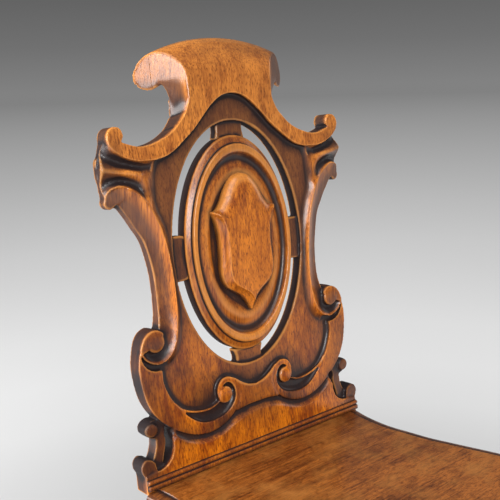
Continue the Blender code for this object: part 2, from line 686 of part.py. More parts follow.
def leg_block(across, forward, size, base):
    """Low and high corners of the square top of the right-hand leg."""
    y = BACK_Y - forward
    low = (across - size / 2, y - size / 2, base)
    high = (across + size / 2, y + size / 2, RAIL_TOP)
    return low, high


def front_leg():
    """Right front leg: square block above, turned below, its edges eased."""
    centre = (FRONT_LEG_ACROSS, BACK_Y - FRONT_LEG_FORWARD)
    low, high = leg_block(FRONT_LEG_ACROSS, FRONT_LEG_FORWARD, FRONT_BLOCK, FRONT_BLOCK_BASE)
    block = box("front_leg_right", low, high)
    height = FRONT_BLOCK_BASE
    section = [(r * TURNED_RADIUS, up * height) for r, up in TURNING_SHARES]
    top = height + TENON_SHOULDER
    section = [(0, top), (section[0][0], top)] + section + [(0, 0)]
    turned = turned_mesh("turning", section, ROUND_SIDES)
    turned.transform(Matrix.Translation((*centre, 0)))
    return fuse(block, add_mesh("turning", turned))


def rear_leg():
    """Right rear leg: a square block whose lower part sweeps back and narrows."""
    low, high = leg_block(REAR_LEG_ACROSS, REAR_LEG_FORWARD, REAR_BLOCK, REAR_BLOCK_BASE)
    bm = bmesh.new()
    bmesh.ops.create_cube(bm, size=1.0)
    size = Vector(high) - Vector(low)
    middle = (Vector(high) + Vector(low)) / 2
    bmesh.ops.transform(bm, matrix=Matrix.Translation(middle) @ Matrix.Diagonal((*size, 1)),
                        verts=bm.verts)
    bm.faces.ensure_lookup_table()
    face = min(bm.faces, key=lambda f: f.calc_center_median().z)
    centre_y = BACK_Y - REAR_LEG_FORWARD
    for up, back, narrow in SWEEP_SHARES[1:]:
        made = bmesh.ops.extrude_face_region(bm, geom=[face])
        bmesh.ops.delete(bm, geom=[face], context="FACES_ONLY")
        verts = [item for item in made["geom"] if isinstance(item, bmesh.types.BMVert)]
        face = [item for item in made["geom"] if isinstance(item, bmesh.types.BMFace)][0]
        half = (REAR_BLOCK - narrow * (REAR_BLOCK - REAR_FOOT_WIDTH)) / 2
        y = centre_y + back * REAR_FOOT_SWEEP
        for vert in verts:
            vert.co.x = REAR_LEG_ACROSS + math.copysign(half, vert.co.x - REAR_LEG_ACROSS)
            side = math.copysign(half, vert.co.y - face_middle_y(verts))
            vert.co.y = y + side
            vert.co.z = up * REAR_BLOCK_BASE
    return add_mesh("rear_leg_right", mesh_from_bmesh("rear_leg_right", bm))


def face_middle_y(verts):
    return (min(v.co.y for v in verts) + max(v.co.y for v in verts)) / 2


def grown_box(name, low, high, gap):
    pad = Vector((gap, gap, gap))
    return box(name, Vector(low) - pad, Vector(high) + pad)


def block_cutter(across, forward, size, base):
    low, high = leg_block(across, forward, size, base)
    return grown_box("leg_space", low, high, JOINT_GAP)


def tenon_low():
    return RAIL_BASE + TENON_SHOULDER


def tenon_high():
    return RAIL_TOP - TENON_SHOULDER


def cross_rail(name, forward, leg_across, block):
    """A rail between the two legs of a pair, with a tenon at each end."""
    y = BACK_Y - forward
    inner = leg_across - block / 2 - JOINT_GAP
    half = RAIL_THICKNESS / 2
    rail = box(name, (-inner, y - half, RAIL_BASE), (inner, y + half, RAIL_TOP))
    reach = inner + TENON_LENGTH
    tenon = box("tenons", (-reach, y - TENON_THICKNESS / 2, tenon_low()),
                (reach, y + TENON_THICKNESS / 2, tenon_high()))
    return fuse(rail, tenon)


def cross_socket(forward, leg_across, block):
    """Space for a cross rail's tenon in the right leg."""
    y = BACK_Y - forward
    inner = leg_across - block / 2
    half = TENON_THICKNESS / 2
    gap = SOCKET_GAP
    return box("socket", (inner - OVERRUN, y - half - gap, tenon_low() - gap),
               (inner + TENON_LENGTH + gap, y + half + gap, tenon_high() + gap))


def front_rail():
    """Front rail with a shallow arch cut from its lower edge."""
    rail = cross_rail("front_rail", FRONT_RAIL_FORWARD, FRONT_LEG_ACROSS, FRONT_BLOCK)
    reach = FRONT_LEG_ACROSS - FRONT_BLOCK - TENON_LENGTH
    arch = rod("arch", (0, 0), reach, RAIL_ARCH, -RAIL_THICKNESS, RAIL_THICKNESS, OVAL_SIDES)
    arch.data.transform(Matrix.Rotation(math.pi / 2, 4, "X"))
    arch.data.transform(Matrix.Translation((0, BACK_Y - FRONT_RAIL_FORWARD, RAIL_BASE)))
    return cut(rail, arch)


def side_rail_frame():
    """Place and turn of the right side rail, its X axis running from front to rear leg."""
    front = Vector((FRONT_LEG_ACROSS, BACK_Y - FRONT_LEG_FORWARD, 0))
    rear = Vector((REAR_LEG_ACROSS, BACK_Y - REAR_LEG_FORWARD, 0))
    run = rear - front
    turn = Matrix.Rotation(math.atan2(run.y, run.x), 4, "Z")
    return Matrix.Translation(front) @ turn, run.length


def turned_box(name, low, high):
    """A box drawn along the right side rail."""
    frame, _ = side_rail_frame()
    piece = box(name, low, high)
    piece.data.transform(frame)
    return piece


def side_tenon_span():
    """Start and end of the side rail's tenons along the rail."""
    _, run = side_rail_frame()
    lean = run / (FRONT_LEG_FORWARD - REAR_LEG_FORWARD)
    start = (FRONT_BLOCK / 2 - TENON_LENGTH) * lean
    end = run - (REAR_BLOCK / 2 - TENON_LENGTH) * lean
    return start, end


def side_rail():
    half = RAIL_THICKNESS / 2
    start, end = side_tenon_span()
    rail = turned_box("side_rail_right", (start, -half, RAIL_BASE), (end, half, RAIL_TOP))
    cut(rail, block_cutter(FRONT_LEG_ACROSS, FRONT_LEG_FORWARD, FRONT_BLOCK, RAIL_BASE - OVERRUN))
    cut(rail, block_cutter(REAR_LEG_ACROSS, REAR_LEG_FORWARD, REAR_BLOCK, RAIL_BASE - OVERRUN))
    thin = TENON_THICKNESS / 2
    tenon = turned_box("tenons", (start, -thin, tenon_low()), (end, thin, tenon_high()))
    return fuse(rail, tenon)


def side_socket():
    """Space for both tenons of the right side rail."""
    start, end = side_tenon_span()
    gap = SOCKET_GAP
    thin = TENON_THICKNESS / 2 + gap
    return turned_box("socket", (start - gap, -thin, tenon_low() - gap),
                      (end + gap, thin, tenon_high() + gap))


def rail_inner_x(forward):
    """Where the right side rail's inner face lies at a distance in front of the back."""
    frame, run = side_rail_frame()
    start = frame @ Vector((0, RAIL_THICKNESS / 2, 0))
    end = frame @ Vector((run, RAIL_THICKNESS / 2, 0))
    share = (BACK_Y - forward - start.y) / (end.y - start.y)
    return start.x + share * (end.x - start.x)


def corner_outline(is_front):
    """Plan of a right-hand corner block, fitted to two rails and round the leg."""
    gap = JOINT_GAP
    if is_front:
        rail_face = FRONT_RAIL_FORWARD - RAIL_THICKNESS / 2 - gap
        leg_x = FRONT_LEG_ACROSS - FRONT_BLOCK / 2 - gap
        leg_face = FRONT_LEG_FORWARD - FRONT_BLOCK / 2 - gap
        far = leg_face - CORNER_REACH
    else:
        rail_face = REAR_RAIL_FORWARD + RAIL_THICKNESS / 2 + gap
        leg_x = REAR_LEG_ACROSS - REAR_BLOCK / 2 - gap
        leg_face = REAR_LEG_FORWARD + REAR_BLOCK / 2 + gap
        far = leg_face + CORNER_REACH
    points = [(leg_x, rail_face), (leg_x - CORNER_REACH, rail_face),
              (rail_inner_x(far) - gap, far), (rail_inner_x(leg_face) - gap, leg_face),
              (leg_x, leg_face)]
    return [(x, BACK_Y - forward) for x, forward in points]


def corner_block(name, is_front):
    outline = corner_outline(is_front)
    corners = range(len(outline))
    return plate(name, outline, corners, RAIL_TOP - CORNER_HEIGHT, RAIL_TOP)


def turned_mesh(name, section, sides):
    """A closed turned solid from a section of radii and heights, top to bottom."""
    bm = bmesh.new()
    line = [bm.verts.new((radius, 0, height)) for radius, height in section]
    edges = [bm.edges.new(pair) for pair in zip(line, line[1:])]
    bmesh.ops.spin(bm, geom=edges, axis=(0, 0, 1), cent=(0, 0, 0), angle=math.tau,
                   steps=sides, use_merge=True)
    return mesh_from_bmesh(name, bm)


def point_along(mesh, tip, direction, length):
    """Turn a screw's mesh, drawn hanging from its head, to end at the tip."""
    turn = Vector(direction).to_track_quat("-Z", "Y").to_matrix().to_4x4()
    mesh.transform(Matrix.Translation(tip) @ turn @ Matrix.Translation((0, 0, length)))
    return mesh


def screw(tip, direction, length):
    """A wood screw: a countersunk head and a plain shank that ends at its tip."""
    head = SCREW_HEAD_RADIUS
    shank = SCREW_SHANK_RADIUS
    section = [(0, 0), (head, 0), (shank, -SCREW_HEAD_HEIGHT), (shank, -length + shank * 2),
               (0, -length)]
    mesh = turned_mesh("screw", section, SCREW_SIDES)
    return add_mesh("screw", point_along(mesh, tip, direction, length))


def screw_hole(tip, direction, length):
    """The hole that a screw needs, wider all round by the gap and open behind its head."""
    gap = JOINT_GAP
    head = SCREW_HEAD_RADIUS + gap
    shank = SCREW_SHANK_RADIUS + gap
    section = [(0, OVERRUN), (head, OVERRUN), (head, -gap), (shank, -SCREW_HEAD_HEIGHT - gap),
               (shank, -length - gap), (0, -length - gap)]
    mesh = turned_mesh("hole", section, SCREW_SIDES)
    return add_mesh("hole", point_along(mesh, tip, direction, length))


def drill(target, places, length):
    for tip, direction in places:
        cut(target, screw_hole(tip, direction, length))


def mirror_places(places):
    return places + [((-tip[0], tip[1], tip[2]), (-way[0], way[1], way[2]))
                     for tip, way in places]


def back_screw_places():
    """Screws through the tongue into the rear rail, driven from behind."""
    frame = BENCH.matrix_world
    way = (frame.to_3x3() @ Vector((0, 0, 1))).normalized()
    depth = -BOARD_THICKNESS + BACK_SCREW_LENGTH
    places = []
    for across in (BACK_SCREW_ACROSS, BACK_SCREW_ACROSS / 3):
        tip = frame @ Vector((across, -BACK_SCREW_UP, depth))
        places.append((tuple(tip), tuple(way)))
    return mirror_places(places)


def seat_screw_places():
    """Screws up through the corner blocks into the seat."""
    tip_z = RAIL_TOP - CORNER_HEIGHT + SEAT_SCREW_LENGTH
    places = []
    for is_front in (True, False):
        outline = corner_outline(is_front)
        x = (outline[1][0] + outline[4][0]) / 2
        y = (outline[1][1] + outline[4][1]) / 2
        places.append(((x, y, tip_z), (0, 0, 1)))
    return mirror_places(places)


def corner_screw_places():
    """Screws through the corner blocks into the corners of the legs."""
    height = RAIL_TOP - CORNER_HEIGHT / 2
    places = []
    for is_front in (True, False):
        outline = [Vector((*point, 0)) for point in corner_outline(is_front)]
        face = (outline[1] + outline[2]) / 2
        way = (outline[4] - face).normalized()
        tip = face + way * CORNER_SCREW_LENGTH
        places.append(((tip.x, tip.y, height), tuple(way)))
    return mirror_places(places)


def glue_blocks():
    """Small blocks rubbed into the angle between the seat and the front and side rails."""
    gap = JOINT_GAP
    size = GLUE_BLOCK
    half = GLUE_BLOCK_LENGTH / 2
    face = BACK_Y - FRONT_RAIL_FORWARD + RAIL_THICKNESS / 2 + gap
    low = RAIL_TOP - size
    front = box("front_block", (-half, face, low), (half, face + size, RAIL_TOP))
    _, run = side_rail_frame()
    inner = RAIL_THICKNESS / 2 + gap
    side = turned_box("side_block", (run / 2 - half, inner, low),
                      (run / 2 + half, inner + size, RAIL_TOP))
    return {"front": front, "side_right": side, "side_left": mirrored(side, "other_block")}


def build_back():
    panel_crest = crest_solid()
    rear_crest = duplicate(panel_crest, "rear_crest")
    panel = back_board(panel_crest)
    drill_back(panel)
    finish_part(panel, "back_panel", OAK_GOLD)
    finish_part(crest_back_block(rear_crest), "crest_back_block", OAK_GOLD)
    finish_part(foot_bead(), "foot_bead", OAK_GOLD)
    finish_part(shield(), "shield_boss", OAK_GOLD)


def drill_back(piece):
    """Holes for the back screws, cut in the bench's own space."""
    to_bench = BENCH.matrix_world.inverted() if piece.parent else Matrix()
    for tip, way in back_screw_places():
        hole = screw_hole(tip, way, BACK_SCREW_LENGTH)
        hole.data.transform(to_bench)
        hole.parent = piece.parent
        cut(piece, hole)


def build_legs():
    front = front_leg()
    cut(front, cross_socket(FRONT_RAIL_FORWARD, FRONT_LEG_ACROSS, FRONT_BLOCK))
    cut(front, side_socket())
    rear = rear_leg()
    cut(rear, cross_socket(REAR_RAIL_FORWARD, REAR_LEG_ACROSS, REAR_BLOCK))
    cut(rear, side_socket())
    for leg, name in ((front, "front_leg"), (rear, "rear_leg")):
        drill(leg, corner_screw_places(), CORNER_SCREW_LENGTH)
        left = mirrored(leg, "left")
        finish_part(leg, name + "_right", OAK_RED)
        finish_part(left, name + "_left", OAK_RED)


def build_rails():
    finish_part(front_rail(), "front_rail", OAK_RED)
    rear = cross_rail("rear_rail", REAR_RAIL_FORWARD, REAR_LEG_ACROSS, REAR_BLOCK)
    cut(rear, back_plane_cutter())
    drill_back(rear)
    finish_part(rear, "rear_rail", OAK_INSIDE, 0.6)
    right = side_rail()
    left = mirrored(right, "left")
    finish_part(right, "side_rail_right", OAK_RED)
    finish_part(left, "side_rail_left", OAK_RED)


def build_corner_blocks():
    for is_front, name in ((True, "front"), (False, "rear")):
        block = corner_block("corner", is_front)
        drill(block, seat_screw_places(), SEAT_SCREW_LENGTH)
        drill(block, corner_screw_places(), CORNER_SCREW_LENGTH)
        left = mirrored(block, "left")
        finish_part(block, "corner_block_" + name + "_right", OAK_INSIDE, 0.6)
        finish_part(left, "corner_block_" + name + "_left", OAK_INSIDE, 0.6)


def build_seat():
    seat = seat_board()
    drill(seat, seat_screw_places(), SEAT_SCREW_LENGTH)
    finish_part(seat, "seat_board", OAK_SEAT, 0.4)
    for place, block in glue_blocks().items():
        finish_part(block, "glue_block_" + place, OAK_INSIDE, 0.6)


def build_screws():
    groups = ((back_screw_places(), "back_screw_", BACK_SCREW_LENGTH),
              (seat_screw_places(), "seat_screw_", SEAT_SCREW_LENGTH),
              (corner_screw_places(), "corner_screw_", CORNER_SCREW_LENGTH))
    for places, name, length in groups:
        for number, (tip, way) in enumerate(places, start=1):
            finish_part(screw(tip, way, length), name + str(number), STEEL, 0.4, 1.0)


build_back()
build_seat()
build_legs()
build_rails()
build_corner_blocks()
build_screws()
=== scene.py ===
"""Dresses the oak hall chair: carved and pierced back, rolled crest, moulded seat, turned legs.

The back is carved on the bench: X across, Y up the back, Z towards the sitter, with the bench's
zero on the front face of the board at the seat's top. Lengths in the outline tables are
millimetres there: across and up, and a depth behind the front face. Each finished piece is then
stood up into the chair's own place.
"""

import math

import bmesh
import bpy
import numpy as np
from mathutils import Matrix, Vector
from mathutils.bvhtree import BVHTree


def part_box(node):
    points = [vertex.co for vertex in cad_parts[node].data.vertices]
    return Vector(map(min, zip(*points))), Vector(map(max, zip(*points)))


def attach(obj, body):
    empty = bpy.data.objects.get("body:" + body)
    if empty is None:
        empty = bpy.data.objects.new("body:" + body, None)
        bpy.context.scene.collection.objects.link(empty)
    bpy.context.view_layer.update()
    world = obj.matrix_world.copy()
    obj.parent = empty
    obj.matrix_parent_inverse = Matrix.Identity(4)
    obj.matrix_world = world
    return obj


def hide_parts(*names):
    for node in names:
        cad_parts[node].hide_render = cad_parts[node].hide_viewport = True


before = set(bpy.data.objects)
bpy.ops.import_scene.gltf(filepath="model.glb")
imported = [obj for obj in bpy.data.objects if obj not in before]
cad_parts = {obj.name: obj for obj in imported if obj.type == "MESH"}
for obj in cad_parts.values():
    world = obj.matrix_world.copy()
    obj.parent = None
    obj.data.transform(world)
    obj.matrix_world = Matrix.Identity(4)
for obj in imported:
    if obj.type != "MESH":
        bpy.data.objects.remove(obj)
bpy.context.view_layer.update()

bl_info = {
    "name": "Hall Chair Dressing",
    "version": (1, 0, 0),
    "blender": (4, 5, 0),
    "location": "View3D > Sidebar > Hall Chair",
    "description": "Carves and finishes a Victorian oak hall chair around its joinery",
    "category": "Object",
}

MM = 0.001
SEAT_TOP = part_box("seat_board")[1].z
SEAT_GAP = 0.3 * MM
BACK_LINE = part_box("seat_board")[1].y + SEAT_GAP
RAKE = math.radians(5.5)
BENCH = Matrix.Translation((0, BACK_LINE, SEAT_TOP)) @ Matrix.Rotation(math.pi / 2 - RAKE, 4, "X")

# Turns that bring the grain of the back, an upright, a cross and a long piece along Z
BACK_GRAIN = (-RAKE, 0.0, 0.0)
UP = (0.0, 0.0, 0.0)
ACROSS = (0.0, math.pi / 2, 0.0)
ALONG = (math.pi / 2, 0.0, 0.0)

# Depths of the board's rear and its sunk field, most triangles in the block behind the crest
BOARD = 22.0
FIELD = 7.4
BLOCK_FACES = 16000

# Middle of the oval opening, its half width and half height, and the tabs across it
RING_CENTRE = 231.0
OPENING = (87.5, 134.0)
OPENING_POINTS = 160
TAB_FRONT = 10.6
END_TAB_MIDDLE = 126.5
SIDE_TAB_MIDDLE = 80
END_TAB = [
    (-19.5, -12), (-17.6, -4), (-17.6, 2), (-20, 10.5), (20, 10.5), (17.6, 2), (17.6, -4),
    (19.5, -12)]
SIDE_TAB = [
    (-12, 204), (-4, 202.5), (4, 202.5), (11, 204), (11, 249), (4, 250.5), (-4, 250.5),
    (-12, 249)]

# Field behind the carving, right half, from the foot up to the crest
FIELD_EDGE = [
    (0, 12), (112, 12), (113, 38), (117, 54), (127, 68), (134, 80), (138.5, 95), (140.5, 115),
    (140, 130), (128, 140), (106, 152), (99, 175), (100, 205), (105, 250), (111.5, 284),
    (112, 300), (109.5, 314), (102, 327), (92, 337), (60, 362), (30, 386), (0, 398)]

# Strap below the crest: lower arch out to the ear, round its hook and back to the crest's side
ARCH_LINE = [
    (0, 393.5), (10, 392), (20, 387.5), (30, 380), (40, 370.5), (50, 360), (65, 348),
    (75, 340.5), (85, 334.5), (95, 331.5), (110, 330), (120, 330.5), (130, 333), (140, 337.5),
    (147.5, 343), (152, 350), (152.6, 356.5), (149.5, 362.5), (143.5, 365.2), (138, 363.5),
    (135.3, 358), (136, 353), (138.2, 350.6)]
UPPER_LINE = [
    (138.2, 350.6), (130, 347.6), (120, 345), (107, 345.8), (93, 350), (80, 356.5), (71, 364),
    (63, 372.5), (58, 381), (55, 390), (54.5, 397)]
UPPER_LINE_BEHIND = [
    (138.2, 350.6), (130, 347.6), (120, 345), (106, 346), (92, 350.5), (80, 358), (72.5, 366),
    (68.5, 373), (66.8, 379), (67, 384), (68.4, 389)]

# Section of the crest's roll: depth behind the front face, and distance from the oval's centre
ROLL_SECTION = [
    (0, 167), (0, 178), (0, 187), (0.7, 194.5), (2.8, 201.5), (6.6, 209), (12, 216.6),
    (17.5, 221.2), (22, 222.6), (26.5, 221.8), (31, 218), (33.8, 211.5), (33.6, 203.5),
    (31, 196.5), (26.8, 191), (23.4, 188.6), (20.6, 188.6), (19.0, 190.4), (17.6, 190.6),
    (16.9, 188), (17.2, 182), (18.6, 175), (20.2, 168), (21.6, 158), (8, 158), (8, 163)]

# Ear: block behind it, and the rails from its rounded ridge to the straps above and below
EAR_EDGE = [
    (93, 338), (120, 341), (142, 346), (152.4, 352), (153.4, 344), (156.4, 338.5), (159.4, 334),
    (160, 325), (159, 314), (156.8, 308), (156.2, 298), (150, 290), (130, 284), (113, 278),
    (104, 284), (99, 300), (95, 320)]
EAR_UPPER = [
    (159.8, 325.5, 5.4, 152.4, 352, 8.6, 6.4), (151, 323.4, 4.0, 150.6, 345.2, 3.0, 7.4),
    (140, 321.2, 2.8, 140, 338.4, 0.8, 7.6), (130, 319.8, 2.2, 130, 333.8, 0.5, 6.6),
    (121.5, 317.4, 2.0, 120, 331.2, 0.5, 5.8), (115.6, 313, 2.0, 110.5, 330.8, 0.7, 4.8),
    (112.8, 308, 2.4, 104, 331.4, 1.8, 3.6), (111, 304, 3.2, 101, 330, 3.6, 2.4)]
EAR_LOWER = [
    (159.8, 325.5, 5.4, 157.0, 298.6, 9.8, 6.0), (151, 323.4, 4.0, 152.4, 305, 5.2, 7.4),
    (140, 321.2, 2.8, 143, 308.2, 2.6, 7.2), (130, 319.8, 2.2, 134, 305.4, 1.4, 6.4),
    (121.5, 317.4, 2.0, 125.4, 299.6, 0.9, 5.4), (115.6, 313, 2.0, 118.6, 292.4, 0.6, 4.4),
    (112.2, 306, 1.9, 114, 286.8, 0.5, 2.8), (110.8, 298, 1.6, 110.8, 281.8, 0.4, 1.0)]

# Side strap and volute: outer edge, inner arris, each across, up, depth; then the hollow
STRAP_RAILS = [
    (157, 297.5, 10.6, 157, 299.5, 10.0, 0), (158, 293, 10.6, 154.6, 304.4, 7.2, 0.4),
    (156.4, 288.8, 10.4, 148, 308, 4.6, 0.6), (152.4, 286.6, 9.8, 139.5, 308, 3.0, 0.6),
    (148.8, 288.4, 9.0, 131, 304, 1.8, 0.6), (145.6, 290.6, 8.6, 124, 299, 1.2, 0.6),
    (137, 280, 9.4, 113.5, 286.5, 0.5, 0.9), (128, 265, 10.0, 104.8, 268, 0.2, 1.2),
    (120, 251, 9.8, 99.2, 249, 0.3, 1.4), (114.8, 231, 9.6, 95.8, 229, 0.6, 1.4),
    (112, 212, 9.8, 93.8, 211, 1.0, 1.4), (111.3, 192, 10, 92.8, 192, 1.4, 1.4),
    (112, 174, 9.2, 93, 174, 1.4, 1.6), (114.4, 161, 6.8, 95, 158, 1.0, 2.0),
    (116.4, 154, 5.2, 98.4, 144, 0.6, 2.4), (115.4, 147.5, 5.6, 104, 134, 0.4, 2.4),
    (116.6, 142, 6.2, 112, 127.6, 0.3, 2.4), (120.6, 138.8, 6.4, 121.5, 125.6, 0.3, 2.4),
    (126.4, 138.6, 6.0, 130.5, 128.4, 0.3, 2.2), (131.0, 141.2, 5.0, 137.6, 134.6, 0.3, 1.8),
    (133.0, 145.4, 3.0, 140.6, 141.0, 0.5, 1.0)]
INNER_COVE = [
    (102.4, 331, 3.6, 93, 333, 7.5, 1.2), (105.4, 322, 4.0, 94, 322, 7.5, 1.4),
    (109.8, 312, 3.2, 97, 311, 7.5, 1.5), (111.4, 300, 2.8, 98.5, 299, 7.5, 1.6),
    (111.0, 290, 2.0, 98, 289, 7.5, 1.8), (108.2, 277, 1.6, 95.5, 277.5, 7.5, 1.8),
    (104.4, 268, 1.3, 92.5, 269, 7.5, 1.8), (98.8, 249, 1.4, 88.8, 250, 7.5, 1.6),
    (95.4, 229, 1.7, 88.6, 229.5, 7.4, 1.4), (93.4, 211, 2.1, 88.4, 211, 7.2, 1.2),
    (92.4, 192, 2.5, 86.5, 191.5, 7.3, 1.2), (92.6, 174, 2.5, 84, 172.5, 7.5, 1.5),
    (94.6, 158, 2.1, 84.5, 154.5, 7.5, 1.7), (98.0, 144, 1.7, 88, 138.5, 7.5, 1.8),
    (103.6, 134, 1.5, 96, 126, 7.5, 1.8), (110.4, 128.2, 1.4, 106.5, 119, 7.5, 1.8)]
VOLUTE_EYE = (122.8, 148.2, 10.2)
VOLUTE_BODY = [
    (144.2, 119), (144.4, 126), (143.4, 134), (141.6, 142), (139.6, 149), (136, 155.5),
    (130.5, 160), (124, 161.8), (116, 158), (111, 148), (113, 134), (122, 124), (133, 118)]
VOLUTE_FACE = [
    (141.0, 139.6), (140.8, 144), (139.2, 149), (135.8, 155), (130.5, 159.4), (124, 161.2),
    (117, 159.6), (112.6, 155), (122, 150), (130, 143)]

# Lower scroll with its coil and eye, the thin ridge inside it, and the tongue between the two
SCROLL_EDGE = [
    (118, 118.5), (124, 119), (130.5, 121), (135.6, 125), (139.4, 131), (141.4, 141.5),
    (143.2, 134), (144.5, 125), (144.2, 117), (142.6, 103), (139, 88), (133, 75.5),
    (126, 66.3), (118, 58.6), (109, 51.6), (99, 45.2), (87, 39.8), (75, 37), (62, 36.8),
    (50, 39.6), (40, 44.3), (31, 51.5), (25.4, 60.5), (23, 70), (24, 78), (28, 84.6),
    (33.6, 89), (40.5, 90.7), (47, 88.6), (51.6, 83), (53.2, 76), (52, 69.5), (48.4, 65),
    (43, 62.8), (38, 64.2), (34.8, 68.6), (34.8, 74), (38.2, 78.6), (43, 80.7), (47, 80.4),
    (44, 83.2), (39, 84.7), (34.4, 82.4), (31, 77.5), (29.6, 71), (31, 63.5), (35, 57),
    (42, 52.2), (50, 49.4), (62, 47.8), (77, 50.6), (87, 56.8), (96, 65.5), (104, 75.8),
    (111, 86), (115.8, 97), (118.4, 108)]
SCROLL_INNER = [
    (118.5, 116), *SCROLL_EDGE[:-8:-1], (66, 47.8), (54, 48.6), (44, 51.6), (36.4, 56.6),
    (31, 64), (29.2, 72)]
SCROLL_EYE = (43.4, 71.8, 9.2)
THIN_RIDGE = [
    (106, 78, 3.4, 1.2), (99, 70.6, 3.2, 1.2), (91, 66.3, 3.0, 1.1), (81, 63.2, 3.0, 1.1),
    (71, 61.7, 3.0, 1.1), (61, 62.2, 3.2, 1.1), (52, 65.4, 3.6, 1.2)]
TONGUE_EDGE = [
    (0, 52), (12, 52.3), (22, 51), (30, 50), (24, 62), (22.4, 72), (25, 80), (30, 87.6),
    (26, 84.6), (20, 80.2), (10, 75), (0, 73)]

# Foot with the bracket at its end, and the crescent sunk between them
FOOT_EDGE = [
    (0, -4.5), (151.4, -4.5), (151.4, 14.5), (140, 16.4), (129, 18), (121.5, 22.5),
    (116, 32), (114.8, 42), (115.4, 50), (112, 46.6), (104, 40), (94, 33.4), (80, 28.6),
    (66, 27.8), (50, 31), (36, 36.5), (20, 41.5), (0, 43.5)]
FOOT_SLOPE = [
    (111.6, 45, 0, 113.6, 55.6, 5.6, 0.9), (104, 39, 0, 108.5, 52.6, 5.4, 0.9),
    (94, 32.4, 0, 98.5, 46.6, 5.4, 0.9), (80, 27.6, 0, 86.5, 41.4, 5.4, 0.9),
    (66, 26.8, 0, 74, 38.8, 5.4, 0.9), (54, 28.6, 0, 62, 38.4, 5.4, 0.9),
    (45, 31.6, 0, 50, 41.4, 5.4, 0.9), (36, 35.5, 0, 40, 46, 5.4, 0.9),
    (28, 38.2, 0, 30, 52, 5.4, 0.9), (20, 40.5, 0, 20, 52.4, 5.2, 0.9),
    (10, 42, 0, 10, 53.4, 5.0, 0.9), (0, 42.5, 0, 0, 53.6, 5.0, 0.9)]
BRACKET_EDGE = [
    (128, 15), (151.4, 14.4), (154.4, 20), (154.2, 27), (149.5, 31.8), (143.5, 30.4),
    (138.2, 26.4), (135.2, 33), (132.6, 41.6), (132.2, 48.6), (137.6, 50.4), (142.3, 54.4),
    (143.6, 60), (141, 66), (135, 68.4), (126, 66.5), (121, 57), (120.6, 48),
    (122, 38), (125, 28)]
BRACKET_UPPER = (137.4, 59.6, 7.2)
BRACKET_LOBE = [
    (137, 14.4), (151.4, 14.4), (154.2, 20), (154, 27), (149.5, 31.6), (143.5, 30.6),
    (139, 26.6), (137.4, 20)]

# Slabs of the right half: outline, step between its points, corners, front and rear
RIGHT_SLABS = (
    (EAR_EDGE, 1.5, (0, 3), 15.5, BOARD), (VOLUTE_BODY, 1.4, (), 9.0, BOARD),
    (VOLUTE_FACE, 1.4, (0,), 1.0, BOARD), (SCROLL_EDGE, 1.2, (0, 5, 39), 2.0, BOARD),
    (TONGUE_EDGE, 1.5, (0, 3, 7, 11), 1.5, 14), (FOOT_EDGE, 1.5, (0, 1, 2, 8, 17), 0, BOARD),
    (BRACKET_EDGE, 1.2, (0, 1, 6, 9), 6.0, BOARD), (BRACKET_LOBE, 1.2, (0, 1), 0.8, BOARD))

# Its ribbons: rails, faces across, leaning or not, and where a leaning one is deepest as a
# share of its width; and its eyes: centre, front, dome
LEAN = 0.6
RIGHT_RIBBONS = (
    (STRAP_RAILS, 8, False), (INNER_COVE, 10, False), (FOOT_SLOPE, 8, False),
    (EAR_UPPER, 12, True), (EAR_LOWER, 12, True))
RIGHT_EYES = ((VOLUTE_EYE, 0.5, 0.5), (SCROLL_EYE, 1.2, 1.6), (BRACKET_UPPER, 3.0, 0.4))

# Shield: right half from the bottom point, by the waist and horn, up to the top; its flat
# face inside that; and how far it sits off the back's middle
SHIELD_EDGE = [
    (0, 158), (3, 164.5), (10, 174), (20, 181.4), (28, 186.5), (33.6, 195), (35.4, 204),
    (34.6, 219), (34, 236), (35.6, 252), (38.4, 262), (42, 270.4), (34, 272.5),
    (28, 280), (22.4, 291), (16.4, 300), (8.4, 306.8), (0, 308.8)]
SHIELD_CORNERS = (0, 11)
SHIELD_FACE = [
    (0, 170), (2.2, 174.5), (8, 180.4), (16.5, 186), (22.6, 190.5), (27, 197), (28.8, 205),
    (28.4, 219), (28, 236), (29.4, 250), (32.2, 259.6), (36.6, 266.8), (24, 262),
    (15, 267), (10, 276), (6.4, 283), (3, 287), (0, 288)]
SHIELD_SHIFT = 1.2

# Rings from the shield's edge to its face: share of the way, depth below and above the horns
SHIELD_STEPS = [
    (0, 7.2, 7.2), (0, 0.4, 2.4), (0.02, -0.6, 0.6), (0.05, -1.2, -1.4), (0.10, -1.6, -2.7),
    (0.16, -1.9, -3.8), (0.22, -2.2, -4.6), (0.30, -2.6, -5.5), (0.40, -3.1, -6.3),
    (0.50, -3.7, -6.9), (0.58, -4.3, -7.3), (0.67, -5.0, -7.7), (0.75, -5.8, -7.95),
    (0.82, -6.5, -8.15), (0.88, -7.2, -8.3), (0.92, -7.7, -8.36), (0.96, -8.1, -8.42),
    (1.0, -8.4, -8.46), (1.08, -8.5, -8.5), (1.3, -8.52, -8.52)]

# Medallion section: distance from the middle as a share of the half width, and depth
MEDALLION_REAR = [
    (0, BOARD), (0.5, BOARD), (0.97, BOARD), (0.99, 21.9), (1, 21.2), (1, 15), (1, 9.6)]
MEDALLION_SECTION = [
    (0.999, 9.4), (0.995, 8.5), (0.985, 7.7), (0.972, 7.0), (0.955, 6.1), (0.940, 5.3),
    (0.931, 5.0), (0.926, 4.7), (0.921, 2.2), (0.916, 0.7), (0.909, 0.15), (0.9, 0.0),
    (0.858, 0.0), (0.850, 0.3), (0.842, 1.4), (0.831, 3.4), (0.813, 5.3), (0.787, 6.4),
    (0.755, 6.3), (0.72, 5.4), (0.68, 4.6), (0.64, 4.6), (0.60, 5.4), (0.56, 6.6),
    (0.52, 7.0), (0.3, 7.0), (0.0, 7.0)]
MEDALLION_HALF = (72.5, 118.5)

